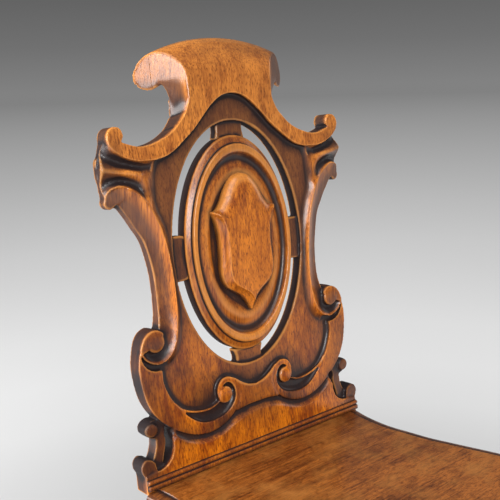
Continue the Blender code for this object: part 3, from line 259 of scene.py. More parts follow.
# Plan of the seat, right half from its rear corner, across and forward
SEAT_EDGE = [
    (154, 0), (150.7, 20), (149.8, 41), (151.6, 63), (156, 82), (161.5, 107), (169, 129),
    (176.5, 150), (184.5, 172), (194, 200), (203, 225), (210, 250), (216, 278), (218, 305),
    (213, 335), (200, 357), (180, 368), (150, 374), (100, 380), (50, 386), (0, 388)]

# Sections of the seat's edge above and below its ovolo: distance inwards, and down
SEAT_LIP = [(1.4, 0), (0.9, -0.1), (0.5, -1.0), (0, -1.2), (-0.4, -1.25)]
SEAT_NOSING = [
    (0.8, -6.7), (0.1, -7.1), (0, -7.6), (0, -12.4), (0.3, -13.2), (1.2, -14.0), (3.2, -17.5),
    (5.0, -21.2), (5.8, -22)]

# Section of the strip at the foot of the back, below its bead: up, and out
STRIP_SECTION = [
    (0.35, -0.02), (0.35, 3.2), (0.7, 3.5), (4.3, 3.5), (4.9, 3.3), (5.2, 2.6), (5.4, 1.6),
    (5.9, 1.3), (6.4, 1.6)]

# Front leg: height of its square block, and the turning's shares of radius and height
LEG_BLOCK = 86 * MM
LEG_TURNING = [
    (0.83, 1.0), (0.83, 0.975), (0.95, 0.965), (1.0, 0.95), (0.95, 0.935), (0.66, 0.925),
    (0.60, 0.905), (0.66, 0.885), (0.88, 0.875), (0.88, 0.855), (0.70, 0.845),
    (0.80, 0.80), (0.95, 0.73), (1.0, 0.66), (0.97, 0.56), (0.88, 0.44), (0.76, 0.32),
    (0.65, 0.22), (0.60, 0.175), (0.76, 0.165), (0.85, 0.15), (0.76, 0.135),
    (0.56, 0.125), (0.52, 0.105), (0.62, 0.085), (0.76, 0.065), (0.80, 0.045),
    (0.70, 0.02), (0.60, 0.0)]

# Spots where old wax and dirt lie thick, deepened with painted shade in the recesses: across, up,
# reach, strength
WAX_SPOTS = [
    (137, 60, 12, 0.55), (148, 24, 12, 0.50), (86, 38, 8, 0.4), (70, 35, 8, 0.4),
    (100, 45, 8, 0.4), (112, 53, 8, 0.4), (55, 37, 8, 0.35), (44, 42, 8, 0.35),
    (31, 49, 7, 0.3), (118, 60, 8, 0.2), (138, 108, 15, 0.35), (148, 337, 16, 0.3),
    (125, 140, 16, 0.35), (104, 120, 14, 0.2), (60, 55, 22, 0.4), (45, 48, 10, 0.2),
    (0, 49, 9, 0.5), (20, 47, 9, 0.5), (100, 38, 12, 0.35), (126, 300, 10, 0.2),
    (108, 300, 11, 0.32)]

# The same for dark stain, and for dull wood, where polished spots are below 0
STAIN_SPOTS = [
    (136, 96, 30, 0.75), (118, 62, 22, 0.45), (124, 148, 20, 0.75), (146, 40, 26, 0.9),
    (150, 18, 20, 0.8), (152, 330, 22, 0.35), (62, 392, 26, 0.35), (0, 436, 17, 0.22),
    (26, 434, 17, 0.30), (0, 62, 40, 0.8), (60, 44, 18, 0.35)]
MATTE_SPOTS = [(144, 42, 26, 0.1), (56, 56, 20, -0.9), (127, 40, 10, -0.9)]

# How far off a wall still counts as closing a hollow in
CAVITY_REACH = 14.0

# Lamps: name, place, target, width, height, share of the key light's power
LAMPS = (
    ("key_light", (-1.36, -1.86, 1.36), (0, 0.15, 0.68), 1.2, 1.0, 1.0),
    ("left_light", (-2.1, 0.85, 1.1), (0, 0.15, 0.68), 1.4, 2.0, 1.9),
    ("top_light", (-1.0, -0.95, 2.5), (0, 0.1, 0.7), 2.2, 2.2, 0.85),
    ("right_light", (2.0, -0.1, 1.3), (0, 0.15, 0.68), 0.9, 1.2, 0.08))

# Greys of the floor along d / (d + 3 m) at the distance d, and of the sky along its height:
# painted fall of the light
FLOOR_LEVELS = [
    (0.0, 0.337), (0.215, 0.364), (0.24, 0.387), (0.265, 0.419), (0.30, 0.482), (0.345, 0.528),
    (0.40, 0.546), (0.464, 0.532), (0.538, 0.512), (0.625, 0.460), (0.732, 0.384),
    (0.865, 0.290), (0.952, 0.222)]
SKY_LEVELS = [(0.0, 0.222), (0.055, 0.163), (0.12, 0.12)]


# Sizes and finishes


def length(name, default, description):
    """A length that a user may change."""
    return bpy.props.FloatProperty(name=name, description=description, default=default,
                                   unit="LENGTH", min=0.0, precision=4)


def tint(name, default, description):
    """A colour that a user may change."""
    return bpy.props.FloatVectorProperty(name=name, description=description, size=4,
                                         subtype="COLOR", min=0.0, max=1.0, default=default)


class CarvingSizes(bpy.types.PropertyGroup):
    """Sizes of the carved back."""

    tool_step: length("Tool Step", 0.00105, "Fineness of the carved surface")
    cove: length("Cove", 0.0068, "Width of the cove beside a scroll")
    strap_cove: length("Strap Cove", 0.0016, "Width of the cove under the crest's strap")
    face_budget: bpy.props.IntProperty(
        name="Face Budget", description="Most triangles in the carved board",
        default=186000, min=20000)
    softness: bpy.props.IntProperty(
        name="Softness", description="Passes of smoothing that wear the edges round",
        default=2, min=0)


class TurningSizes(bpy.types.PropertyGroup):
    """Sizes of the seat and the legs."""

    leg_radius: length("Leg Radius", 0.0205, "Largest radius of the turned legs")
    ease: length("Eased Edge", 0.0012, "Width of the eased edges of rails and legs")
    seat_ovolo: length("Seat Ovolo", 0.0135, "Width of the seat's edge moulding")


class OakFinish(bpy.types.PropertyGroup):
    """Colours of the woods and metal."""

    gold: tint("Golden Oak", (0.76, 0.21, 0.004, 1), "Lit face of the carved oak")
    amber: tint("Amber Oak", (0.27, 0.050, 0.002, 1), "Dark figure of the carved oak")
    faded: tint("Faded Oak", (0.68, 0.235, 0.036, 1), "Upper part of the back, gone paler")
    faded_dark: tint("Faded Figure", (0.30, 0.085, 0.014, 1), "Dark figure of the paler oak")
    # Stain and painted shade in the sunk field
    field: tint("Stained Field", (0.062, 0.023, 0.014, 1), "Stain left in the sunk field")
    # Dark wax and painted shade in the hollows
    wax: tint("Old Wax", (0.011, 0.009, 0.011, 1), "Dark wax in the hollows")
    # Pale rubbed arrises, with painted highlights and painted light on the crest's top
    worn: tint("Worn Arris", (0.80, 0.33, 0.07, 1), "Oak rubbed pale on the edges")
    seat: tint("Seat Oak", (0.36, 0.112, 0.018, 1), "Seat board")
    seat_dark: tint("Seat Figure", (0.13, 0.034, 0.007, 1), "Dark figure of the seat board")
    legs: tint("Leg Oak", (0.22, 0.078, 0.026, 1), "Rails and legs")
    legs_dark: tint("Leg Figure", (0.11, 0.036, 0.014, 1), "Dark figure of rails and legs")
    bare: tint("Bare Wood", (0.40, 0.26, 0.145, 1), "Unpolished wood under the seat")
    bare_dark: tint("Bare Figure", (0.24, 0.14, 0.075, 1), "Dark figure of the bare wood")
    steel: tint("Old Steel", (0.20, 0.18, 0.165, 1), "Screws")


class StageSettings(bpy.types.PropertyGroup):
    """Light and background."""

    key_power: bpy.props.FloatProperty(name="Key Light", description="Watts of the key light",
                                       default=42.0, min=0.0)
    sky_level: bpy.props.FloatProperty(name="Sky Level", description="Strength of the sky",
                                       default=0.45, min=0.0)


# Drawing helpers


def reach(a, b):
    """Length of a step, along whichever rail moves further."""
    first = math.hypot(b[0] - a[0], b[1] - a[1])
    return max(first, math.hypot(b[3] - a[3], b[4] - a[4])) if len(a) > 5 else first


def smooth_line(points, step, corners=(), closed=False):
    """Points along a smooth curve through the given ones, sharp at its corners."""
    pts = [np.array(p, float) for p in points]
    count = len(pts)

    def slope(index, ahead):
        """Slope per unit length at a point; one-sided at ends and corners."""
        before, after = pts[index - 1], pts[(index + 1) % count]
        if index in corners or (not closed and index in (0, count - 1)):
            if ahead:
                return (after - pts[index]) / max(reach(pts[index], after), 1e-9)
            return (pts[index] - before) / max(reach(before, pts[index]), 1e-9)
        d0, d1 = reach(before, pts[index]), reach(pts[index], after)
        into, out = (pts[index] - before) / d0, (after - pts[index]) / d1
        return (into * d1 + out * d0) / (d0 + d1)

    line = []
    for i in range(count if closed else count - 1):
        a, b = pts[i], pts[(i + 1) % count]
        run = reach(a, b)
        m0, m1 = slope(i, True) * run, slope((i + 1) % count, False) * run
        pieces = max(1, round(run / step))
        for t in (k / pieces for k in range(pieces)):
            line.append((2 * t**3 - 3 * t**2 + 1) * a + (t**3 - 2 * t**2 + t) * m0
                        + (3 * t**2 - 2 * t**3) * b + (t**3 - t**2) * m1)
    if not closed:
        line.append(pts[-1])
    return np.array(line)


def side_normals(line):
    """Normals to the left of an open line."""
    ahead = np.gradient(line[:, :2], axis=0)
    normal = np.stack([-ahead[:, 1], ahead[:, 0]], axis=1)
    return normal / np.maximum(np.linalg.norm(normal, axis=1, keepdims=True), 1e-9)


def parts_in(items, kind=bmesh.types.BMVert):
    """The points among what a bmesh operator made, or its other parts."""
    return [item for item in items if isinstance(item, kind)]


def gentle(value, start, width):
    """0 up to the start, 1 beyond the width, eased at both."""
    share = min(max((value - start) / width, 0), 1)
    return share * share * (3 - 2 * share)


def loop_edges(bm, points):
    """A closed loop of edges through the points."""
    verts = [bm.verts.new(point) for point in points]
    return [bm.edges.new(pair) for pair in zip(verts, verts[1:] + verts[:1])]


def slab(bm, outline, front, rear=BOARD, behind=None, hole=None):
    """A closed slab from its outline, with another outline behind, or a hole through it."""
    edges = loop_edges(bm, [(p[0], p[1], -front) for p in outline])
    if hole is not None:
        edges += loop_edges(bm, [(p[0], p[1], -front) for p in hole])
    filled = bmesh.ops.triangle_fill(bm, use_beauty=True, edges=edges)
    places = {}
    if behind is not None:
        places = {(round(p[0], 4), round(p[1], 4)): q for p, q in zip(outline, behind)}
    grown = bmesh.ops.extrude_face_region(bm, geom=parts_in(filled["geom"], bmesh.types.BMFace))
    for vert in parts_in(grown["geom"]):
        place = places.get((round(vert.co.x, 4), round(vert.co.y, 4)), vert.co)
        vert.co = (place[0], place[1], -rear)


def close_down(bm, verts, depth):
    """Closes a surface of points with walls down to a flat rear."""
    faces = list(dict.fromkeys(face for vert in verts for face in vert.link_faces))
    grown = bmesh.ops.extrude_face_region(bm, geom=faces)
    for vert in parts_in(grown["geom"]):
        vert.co.z = -depth


def ribbon(bm, rails, rear=BOARD, across=8, leaning=False):
    """A closed strip between two rails, hollowed between them, down to a flat rear.

    Each row of rails is across, up and depth on one rail, the same on the other, and how deep
    the hollow is. A leaning hollow leaves its first rail as a rounded ridge."""
    line = smooth_line(rails, 1.4)
    rows = len(line) - 1
    grid = bmesh.ops.create_grid(bm, x_segments=rows, y_segments=across, size=0.5)["verts"]
    for vert in grid:
        row = line[round((vert.co.x + 0.5) * rows)]
        t = vert.co.y + 0.5
        at = row[:3] * (1 - t) + row[3:6] * t
        dip = 4 * t * (1 - t)
        if leaning and t < LEAN:
            dip = 0.5 - 0.5 * math.cos(math.pi * t / LEAN)
        elif leaning:
            dip = math.cos(math.pi / 2 * (t - LEAN) / (1 - LEAN))
        vert.co = (at[0], at[1], -(at[2] + row[6] * dip))
    close_down(bm, grid, rear)


def band(bm, line, rear):
    """A thin ridge along a line of across, up, depth and half width."""
    rails = smooth_line([(u, v, h, u, v, w, 0) for u, v, h, w in line], 1.4)
    pairs = [(r[0] + n[0] * r[5], r[1] + n[1] * r[5], r[2], r[0] - n[0] * r[5],
              r[1] - n[1] * r[5], r[2], -0.5) for r, n in zip(rails, side_normals(rails))]
    ribbon(bm, pairs, rear, 4)


def cove(bm, line, width, height):
    """The hollow at the foot of a wall, where the field lies right of the line."""
    normal = -side_normals(line)
    rows = len(line) - 1
    grid = bmesh.ops.create_grid(bm, x_segments=rows, y_segments=6, size=0.5)["verts"]
    for vert in grid:
        row = round((vert.co.x + 0.5) * rows)
        turn = (vert.co.y + 0.5) * math.pi / 2
        out = width * (1 - math.cos(turn)) - 0.4 * math.cos(turn)
        at = line[row, :2] + normal[row] * out
        vert.co = (at[0], at[1], -(FIELD - height * (1 - math.sin(turn)) + 0.02))
    close_down(bm, grid, FIELD + 4)


def spun(bm, points, centre, steps=48):
    """Spins a line of points right round an axis along Z."""
    verts = [bm.verts.new(point) for point in points]
    edges = [bm.edges.new(pair) for pair in zip(verts, verts[1:])]
    bmesh.ops.spin(bm, geom=verts + edges, cent=(centre[0], centre[1], 0), axis=(0, 0, 1),
                   angle=2 * math.pi, steps=steps, use_merge=True)


def button(bm, centre, front, dome):
    """A domed round eye."""
    u, v, r = centre
    section = [(0, BOARD), (1, BOARD), (1, front + 1.4), (0.97, front + 0.6), (0.9, front + 0.1),
               (0.75, front - dome * 0.45), (0.5, front - dome * 0.8),
               (0.25, front - dome * 0.95), (0, front - dome)]
    spun(bm, [(u + r * out, v, -h) for out, h in section], (u, v), 40)


def mirrored(bm):
    """Adds the left half."""
    made = bmesh.ops.duplicate(bm, geom=bm.verts[:] + bm.edges[:] + bm.faces[:])
    bmesh.ops.scale(bm, vec=(-1, 1, 1), verts=parts_in(made["geom"]))
    bmesh.ops.reverse_faces(bm, faces=parts_in(made["geom"], bmesh.types.BMFace))


def cut(bm, place, way, **clear):
    """Cuts the whole mesh along a plane."""
    return bmesh.ops.bisect_plane(bm, geom=bm.verts[:] + bm.edges[:] + bm.faces[:],
                                  plane_co=place, plane_no=way, **clear)


def skinned(bm, loops, hollow_ends=False):
    """Bridges loop to loop and closes both ends, by triangles where an end curves inwards."""
    for near, far in zip(loops, loops[1:]):
        bmesh.ops.bridge_loops(bm, edges=near + far)
    for ends in (loops[0], loops[-1]):
        if hollow_ends:
            bmesh.ops.triangle_fill(bm, use_beauty=True, edges=ends)
        else:
            bmesh.ops.contextual_create(bm, geom=ends)
    bmesh.ops.recalc_face_normals(bm, faces=bm.faces)
    return bm


def new_object(name, bm):
    """A smoothly shaded mesh object from a bmesh."""
    mesh = bpy.data.meshes.new(name)
    bm.to_mesh(mesh)
    bm.free()
    piece = bpy.data.objects.new(name, mesh)
    bpy.context.scene.collection.objects.link(piece)
    mesh.shade_smooth()
    return piece


def apply_modifier(piece, kind, **values):
    """Applies one modifier to a piece."""
    modifier = piece.modifiers.new(kind.lower(), kind)
    for key, value in values.items():
        setattr(modifier, key, value)
    graph = bpy.context.evaluated_depsgraph_get()
    mesh = bpy.data.meshes.new_from_object(piece.evaluated_get(graph))
    old = piece.data
    piece.modifiers.clear()
    piece.data = mesh
    bpy.data.meshes.remove(old)


def place_from_bench(piece):
    """Stands a piece up from the bench, turned and scaled within its mesh."""
    piece.data.transform(BENCH @ Matrix.Scale(MM, 4))
    piece.data.update()


def dress(piece, material):
    """Gives a piece its only material."""
    piece.data.materials.clear()
    piece.data.materials.append(material)


def stand(piece, material, node):
    """Sets a finished piece in the chair in a node's place, in its material."""
    dress(piece, material)
    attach(piece, "root")
    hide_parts(node)


# Masks that the finish reads at a mesh's points


def points_of(mesh, what="co"):
    """Places, or normals, of a mesh's points."""
    values = np.empty(len(mesh.vertices) * 3)
    mesh.vertices.foreach_get(what, values)
    return values.reshape(-1, 3)


def spread_values(mesh, values, passes):
    """Averages one value a point with its neighbours, over and over."""
    count = len(mesh.vertices)
    pairs = np.empty(len(mesh.edges) * 2, dtype=np.int64)
    mesh.edges.foreach_get("vertices", pairs)
    a, b = pairs[::2], pairs[1::2]
    degree = np.maximum(np.bincount(a, minlength=count) + np.bincount(b, minlength=count), 1)
    for _ in range(passes):
        total = np.bincount(a, values[b], count) + np.bincount(b, values[a], count)
        values = values + 0.5 * (total / degree - values)
    return values


def smoothed(mesh, passes):
    """Places of a mesh's points after so many passes of averaging with their neighbours."""
    return np.stack([spread_values(mesh, axis, passes) for axis in points_of(mesh).T], axis=1)


def melt(mesh, places, passes, weight):
    """Smooths a mesh whose points are at these places where the weight is above 0."""
    weight = weight[:, None]
    places = places * (1 - weight) + smoothed(mesh, passes) * weight
    mesh.vertices.foreach_set("co", places.ravel())
    return places


def rise(values, start, width):
    """0 up to the start, 1 beyond the width, even between; falls where the width is below 0."""
    return np.clip((values - start) / width, 0, 1)


def set_mask(mesh, name, values):
    """Stores one value a point, or one for all."""
    mask = mesh.attributes.get(name) or mesh.attributes.new(name, "FLOAT", "POINT")
    values = np.clip(values, 0, 1) * np.ones(len(mesh.vertices))
    mask.data.foreach_set("value", values.astype(np.float32))


def mask_of(mesh, name):
    """The values stored under a name, or zeros."""
    values = np.zeros(len(mesh.vertices), dtype=np.float32)
    if mesh.attributes.get(name) is not None:
        mesh.attributes[name].data.foreach_get("value", values)
    return values


def bend_mask(mesh, passes):
    """How far each point stands out of its smoothed surroundings, in millimetres."""
    return np.sum((points_of(mesh) - smoothed(mesh, passes)) * points_of(mesh, "normal"), axis=1)


def rays():
    """Fifteen directions spread over the half sphere above a surface."""
    out = []
    for lean, count in ((0.35, 4), (0.75, 6), (1.1, 5)):
        for turn in (2 * math.pi * (k + lean) / count for k in range(count)):
            out.append(Vector((math.sin(lean) * math.cos(turn), math.sin(lean) * math.sin(turn),
                               math.cos(lean))))
    return out


def cavity(mesh, tree, far):
    """How much of the half sphere above each point is closed in nearer than far."""
    spread = rays()
    values = np.zeros(len(mesh.vertices))
    for index, vert in enumerate(mesh.vertices):
        turn = vert.normal.to_track_quat("Z", "Y")
        origin = vert.co + vert.normal * 0.35
        hits = 0.0
        for ray in spread:
            distance = tree.ray_cast(origin, turn @ ray, far)[3]
            if distance is not None:
                hits += 1 - 0.6 * distance / far
        values[index] = hits / len(spread)
    return values


def tree_of(meshes):
    """A search tree over several meshes in bench millimetres."""
    verts, faces = [], []
    for mesh in meshes:
        base = len(verts)
        verts += [v.co.copy() for v in mesh.vertices]
        faces += [[base + i for i in p.vertices] for p in mesh.polygons]
    return BVHTree.FromPolygons(verts, faces)


def spots_at(co, spots):
    """Soft round spots on both halves of the back, from rows of across, up, reach, strength."""
    total = np.zeros(len(co))
    for u, v, size, amount in spots:
        d2 = (np.abs(co[:, 0]) - u)**2 + (co[:, 1] - v)**2
        total += amount * np.exp(-d2 / size**2)
    return total


def lines_at(values, lines):
    """Soft lines along a value, from rows of place, width, strength."""
    return sum(amount * np.exp(-((values - at) / wide)**2) for at, wide, amount in lines)


def bend_masks(piece, size, passes):
    """Wear and painted highlight where a piece bulges, and painted shade where it dips, size
    being a full one's height.
    """
    mesh = piece.data
    bend = bend_mask(mesh, passes) / size
    set_mask(mesh, "wear", spread_values(mesh, np.clip(bend, 0, 1), 1))
    set_mask(mesh, "hollow", 0.6 * np.clip(-bend, 0, 1))


def edge_masks(piece, width, above=-1.0):
    """Wear on the eased edges of a plain piece, or of its part above a height."""
    mesh = piece.data
    plain = np.zeros(len(mesh.vertices))
    for face in mesh.polygons:
        corners = [mesh.vertices[i].co for i in face.vertices]
        longest = max((a - b).length for a, b in zip(corners, corners[1:] + corners[:1]))
        if face.area / longest > 1.2 * width:
            plain[list(face.vertices)] = 1
    upper = points_of(mesh)[:, 2] > above
    set_mask(mesh, "wear", np.where(upper, 0.7 * (1 - plain), mask_of(mesh, "wear")))
    set_mask(mesh, "hollow", mask_of(mesh, "hollow"))


# The carved back


def crest_roll(whole):
    """The roll across the top: its section swept round the oval's centre, ends splayed."""
    bm = bmesh.new()
    edges = loop_edges(bm, [(-1, h, r) for h, r in ROLL_SECTION])
    bmesh.ops.triangle_fill(bm, use_beauty=True, edges=edges)
    for r in range(160, 222, 3):
        cut(bm, (0, 0, r), (0, 0, 1))
    for h in range(3, 34, 3):
        cut(bm, (0, h, 0), (0, 1, 0))
    grown = bmesh.ops.extrude_face_region(bm, geom=bm.faces[:])
    bmesh.ops.translate(bm, vec=(2, 0, 0), verts=parts_in(grown["geom"]))
    for k in range(-15, 16):
        cut(bm, (k / 16, 0, 0), (1, 0, 0))
    for vert in bm.verts:
        across, h, r = vert.co
        end = 55 + h * (0.60 + 0.72 * gentle(r, 164, 30))
        turn = across * math.asin(end / r)
        vert.co = (r * math.sin(turn), RING_CENTRE + r * math.cos(turn), -h)
    roll = bpy.data.meshes.new("roll")
    bm.to_mesh(roll)
    bm.free()
    whole.from_mesh(roll)
    bpy.data.meshes.remove(roll)


def carve_right(bm, sizes):
    """Straps, scrolls, ear, volute and foot of the right half."""
    arch, upper, rear_line = (smooth_line(line, 1.3)
                              for line in (ARCH_LINE, UPPER_LINE, UPPER_LINE_BEHIND))
    spread = np.linspace(0, 1, len(upper))
    behind = np.stack([np.interp(spread, np.linspace(0, 1, len(rear_line)), places)
                       for places in rear_line.T], axis=1)
    slab(bm, [*arch, *upper[1:], (0, 402)], 0, behind=[*arch, *behind[1:], (0, 393)])
    cove(bm, arch[arch[:, 0] < 104][:70], sizes.strap_cove / MM, sizes.strap_cove / MM)
    cove(bm, smooth_line(SCROLL_INNER, 1.3), sizes.cove / MM, 5.2)
    for outline, step, corners, front, rear in RIGHT_SLABS:
        slab(bm, smooth_line(outline, step, corners, True), front, rear)
    for rails, across, leaning in RIGHT_RIBBONS:
        ribbon(bm, rails, across=across, leaning=leaning)
    for centre, front, dome in RIGHT_EYES:
        button(bm, centre, front, dome)
    band(bm, THIN_RIDGE, 10)


def carve_middle(bm):
    """The sunk field with its oval opening, and the four tabs that hold the medallion."""
    half = smooth_line(FIELD_EDGE, 3.0, (0, 1, 21))
    left = [(-u, v) for u, v in half[::-1] if u > 1e-6]
    turns = [2 * math.pi * k / OPENING_POINTS for k in range(OPENING_POINTS)]
    slab(bm, [*half, *left], FIELD, hole=[
        (OPENING[0] * math.sin(turn), RING_CENTRE + OPENING[1] * math.cos(turn))
        for turn in turns])
    for way in (1, -1):
        end, side = RING_CENTRE + way * END_TAB_MIDDLE, way * SIDE_TAB_MIDDLE
        slab(bm, [(u, end + v) for u, v in END_TAB], TAB_FRONT)
        slab(bm, [(side + u, v) for u, v in SIDE_TAB], TAB_FRONT)


def paint_board(mesh):
    """Masks of the carved board in bench millimetres: wear and painted highlights, wax and
    painted shade, stain and painted shade, matte and fade.
    """
    co, normal = points_of(mesh), points_of(mesh, "normal")
    up, depth = co[:, 1], -co[:, 2]
    near, wide = bend_mask(mesh, 8), bend_mask(mesh, 40)
    wax = spots_at(co, WAX_SPOTS)
    oval = np.hypot(co[:, 0] / OPENING[0], (up - RING_CENTRE) / OPENING[1])
    wall = (np.abs(oval - 1) < 0.012) * (depth > FIELD + 1.2)
    wall = np.maximum(wall, (oval < 1) * (depth > 11.5) * (depth < 21.5))
    upright = np.clip(1.15 - 1.6 * np.abs(normal[:, 2]), 0, 1)
    # Painted shade: creases, upright walls and a halo on the field round the relief darken the
    # hollows, with the wax spots and the opening's walls made black
    groove = rise(near, 0, -0.25) * 0.6 + rise(wide, 0, -0.9) * 0.7
    sides = 0.55 * spread_values(mesh, upright * (depth > 3.5), 2)
    halo = rise(spread_values(mesh, np.clip(groove + sides, 0, 1), 180), 0.06, 0.3)
    halo = halo * (depth > 3.2) * (depth < 16) * (1 - upright)
    hollow = groove + wax * (depth < 21) + sides + 0.50 * halo + 0.9 * wall
    roll = (rise(up, 404, 10) * rise(normal[:, 2], -0.45, 0.3)
            * (1 - np.clip(2.4 * normal[:, 0], 0, 1)))
    # Stain with painted shade: the sunk field darker where deeper and higher up, the roll's top
    # kept clear
    stain = rise(depth, 3.0, 3.5) * np.maximum(rise(up, 40, 190), 0.45) * (1 - 0.85 * roll)
    flat = 0.7 * upright * (depth > 3.5) * rise(up, 372, -8) + spots_at(co, MATTE_SPOTS)
    # Painted light: the crest's upward faces made pale, as on the highlit and worn arrises
    crown = 0.75 * rise(normal[:, 1], 0.3, 0.5) * (up > 425)
    wear = rise(near, 0, 0.22) * (1 - 0.85 * np.clip(1.3 * wax, 0, 1))
    for name, values, passes in (
            ("wear", np.maximum(wear, crown), 2), ("hollow", hollow, 2),
            ("stain", stain + spots_at(co, STAIN_SPOTS), 3),
            ("matte", np.maximum(wall, flat), 1), ("fade", rise(up, 120, 240), 0)):
        set_mask(mesh, name, spread_values(mesh, np.clip(values, 0, 1), passes))


def carved_board(sizes):
    """The board and the block behind its crest, in bench millimetres."""
    bm = bmesh.new()
    carve_right(bm, sizes)
    mirrored(bm)
    carve_middle(bm)
    crest_roll(bm)
    bmesh.ops.recalc_face_normals(bm, faces=bm.faces)
    board = new_object("carved_back", bm)
    apply_modifier(board, "REMESH", mode="VOXEL", voxel_size=sizes.tool_step / MM,
                   adaptivity=0.0)
    mesh = board.data
    soft = smoothed(mesh, sizes.softness)
    mesh.vertices.foreach_set("co", soft.ravel())
    across, up, depth = np.abs(soft[:, 0]), soft[:, 1], -soft[:, 2]
    # Where the strap's upper line runs under the crest
    under = (rise(across, 50, 4) * rise(across, 84, -6) * rise(up, 368, 8) * rise(up, 412, -8)
             * rise(depth, 1.0, 2.5) * rise(depth, 20.5, -2))
    soft = melt(mesh, soft, 45, under)
    # The crest's ends, and the groove round the volute's eye
    ends = rise(up, 388, 4) * rise(across, 58, 4)
    eye = np.hypot(across - VOLUTE_EYE[0], up - VOLUTE_EYE[1])
    rim = 0.7 * (rise(eye, 17, -3) * rise(eye, 8.5, 2) * (depth < 12))
    soft = melt(mesh, soft, 7, np.maximum(ends, rim))
    # Where the ear meets the strap, and the foot's tip meets the bracket
    across, up, depth = np.abs(soft[:, 0]), soft[:, 1], -soft[:, 2]
    root = rise(np.hypot((across - 111) / 8, (up - 304) / 18), 1.25, -0.5)
    tip = rise(np.hypot(across - 115, up - 50), 8, -3)
    melt(mesh, soft, 60, np.maximum(root, tip) * (depth < 12))
    mesh.update()
    paint_board(mesh)
    return board


def cut_crest_block(board):
    """Parts the block behind the crest from the board, and closes both cuts."""
    block = board.copy()
    block.name = "crest_block"
    block.data = board.data.copy()
    bpy.context.scene.collection.objects.link(block)
    for piece, above, gap in ((board, True, 0.05), (block, False, 0.3)):
        bm = bmesh.new()
        bm.from_mesh(piece.data)
        made = cut(bm, (0, 0, -BOARD - gap), (0, 0, 1), clear_inner=above,
                   clear_outer=not above)
        bmesh.ops.contextual_create(bm, geom=parts_in(made["geom_cut"], bmesh.types.BMEdge))
        bmesh.ops.triangulate(bm, faces=[f for f in bm.faces if len(f.verts) > 4])
        bm.to_mesh(piece.data)
        bm.free()
    return block


def thin_out(piece, budget):
    """Reduces a piece to its budget of triangles, flats first."""
    mesh = piece.data
    bend = spread_values(mesh, rise(np.abs(bend_mask(mesh, 3)), 0, 0.05), 3)
    rear = np.abs(points_of(mesh)[:, 2] + BOARD) < 0.2
    levels = np.clip(1 - bend * 1.4, 0, 1) * np.where(rear, 1.0, 0.22)
    tenths = np.round(levels * 10).astype(int)
    group = piece.vertex_groups.new(name="flats")
    for level in range(11):
        group.add(np.nonzero(tenths == level)[0].tolist(), level / 10, "REPLACE")
    count = sum(len(p.vertices) - 2 for p in mesh.polygons)
    if count > budget:
        apply_modifier(piece, "DECIMATE", ratio=budget / count, vertex_group="flats",
                       vertex_group_factor=2.0)
    piece.vertex_groups.clear()


def medallion_mesh():
    """The oval medallion, spun and drawn out upwards, in bench millimetres."""
    half_u, half_v = MEDALLION_HALF
    front = smooth_line([(r * half_u, h) for r, h in MEDALLION_SECTION], 1.3)
    section = [(r * half_u, h) for r, h in MEDALLION_REAR] + list(front)
    bm = bmesh.new()
    spun(bm, [(r, 0, -h) for r, h in section], (0, 0), 192)
    bmesh.ops.remove_doubles(bm, verts=bm.verts, dist=1e-4)
    bmesh.ops.scale(bm, vec=(1, half_v / half_u, 1), verts=bm.verts)
    bmesh.ops.translate(bm, vec=(0, RING_CENTRE, 0), verts=bm.verts)
    bmesh.ops.recalc_face_normals(bm, faces=bm.faces)
    return bm


def paint_medallion(mesh):
    """Dark wax and painted shade in the medallion's grooves and round the shield, and its outer
    wall black.
    """
    co = points_of(mesh)
    up, depth = co[:, 1], -co[:, 2]
    share = np.hypot(co[:, 0] / MEDALLION_HALF[0], (up - RING_CENTRE) / MEDALLION_HALF[1])
    wall = (share > 0.985) & (depth > 9.5) & (depth < 21.7)
    away = np.full(len(co), 99.0)
    for u, v in smooth_line(SHIELD_EDGE, 3.0, SHIELD_CORNERS):
        away = np.minimum(away, np.hypot(np.abs(co[:, 0]) - u, up - v))
    dark = 0.45 * np.exp(-(away / 5.0)**2) * (depth < 15) + 1.1 * wall
    dark += lines_at(share, ((0.924, 0.008, 0.6), (0.79, 0.030, 0.40), (0.60, 0.05, 0.25)))
    # The medallion is made darker towards its top
    upper = rise(up, RING_CENTRE, MEDALLION_HALF[1])**2
    set_mask(mesh, "hollow", mask_of(mesh, "hollow") + dark)
    set_mask(mesh, "wear", mask_of(mesh, "wear") * (depth < 9.3))
    set_mask(mesh, "stain", np.where(depth > 21.6, 0.85, 0.42 + 0.35 * upper))
    set_mask(mesh, "matte", wall)
    set_mask(mesh, "fade", 0.30)


def shield_mesh():
    """The raised shield: a cove below its horns, a rounded shoulder above them."""
    rails = [(*a, 0, *b, 0, 0) for a, b in zip(SHIELD_EDGE, SHIELD_FACE)]
    half = smooth_line(rails, 1.6, SHIELD_CORNERS)
    pairs = list(half) + [row * (-1, 1, 1, -1, 1, 1, 1) for row in half[::-1] if row[0] > 1e-6]
    bm = bmesh.new()
    loops = []
    for t, low, high in SHIELD_STEPS:
        ring = []
        for row in pairs:
            above = gentle(row[1], 262, 14)
            ring.append((row[0] * (1 - t) + row[3] * t, row[1] * (1 - t) + row[4] * t,
                         -(low * (1 - above) + high * above)))
        loops.append(loop_edges(bm, ring))
    skinned(bm, loops, True)
    bmesh.ops.translate(bm, vec=(SHIELD_SHIFT, 0, 0), verts=bm.verts)
    return bm


def paint_shield(mesh):
    """Keeps the shield's wear and painted highlight to its arris, and stains it evenly."""
    face = points_of(mesh)[:, 2] > 8.51
    set_mask(mesh, "wear", np.where(face, 0, mask_of(mesh, "wear")))
    set_mask(mesh, "stain", 0.22)
    set_mask(mesh, "fade", 0.30)


# Seat, legs and frame


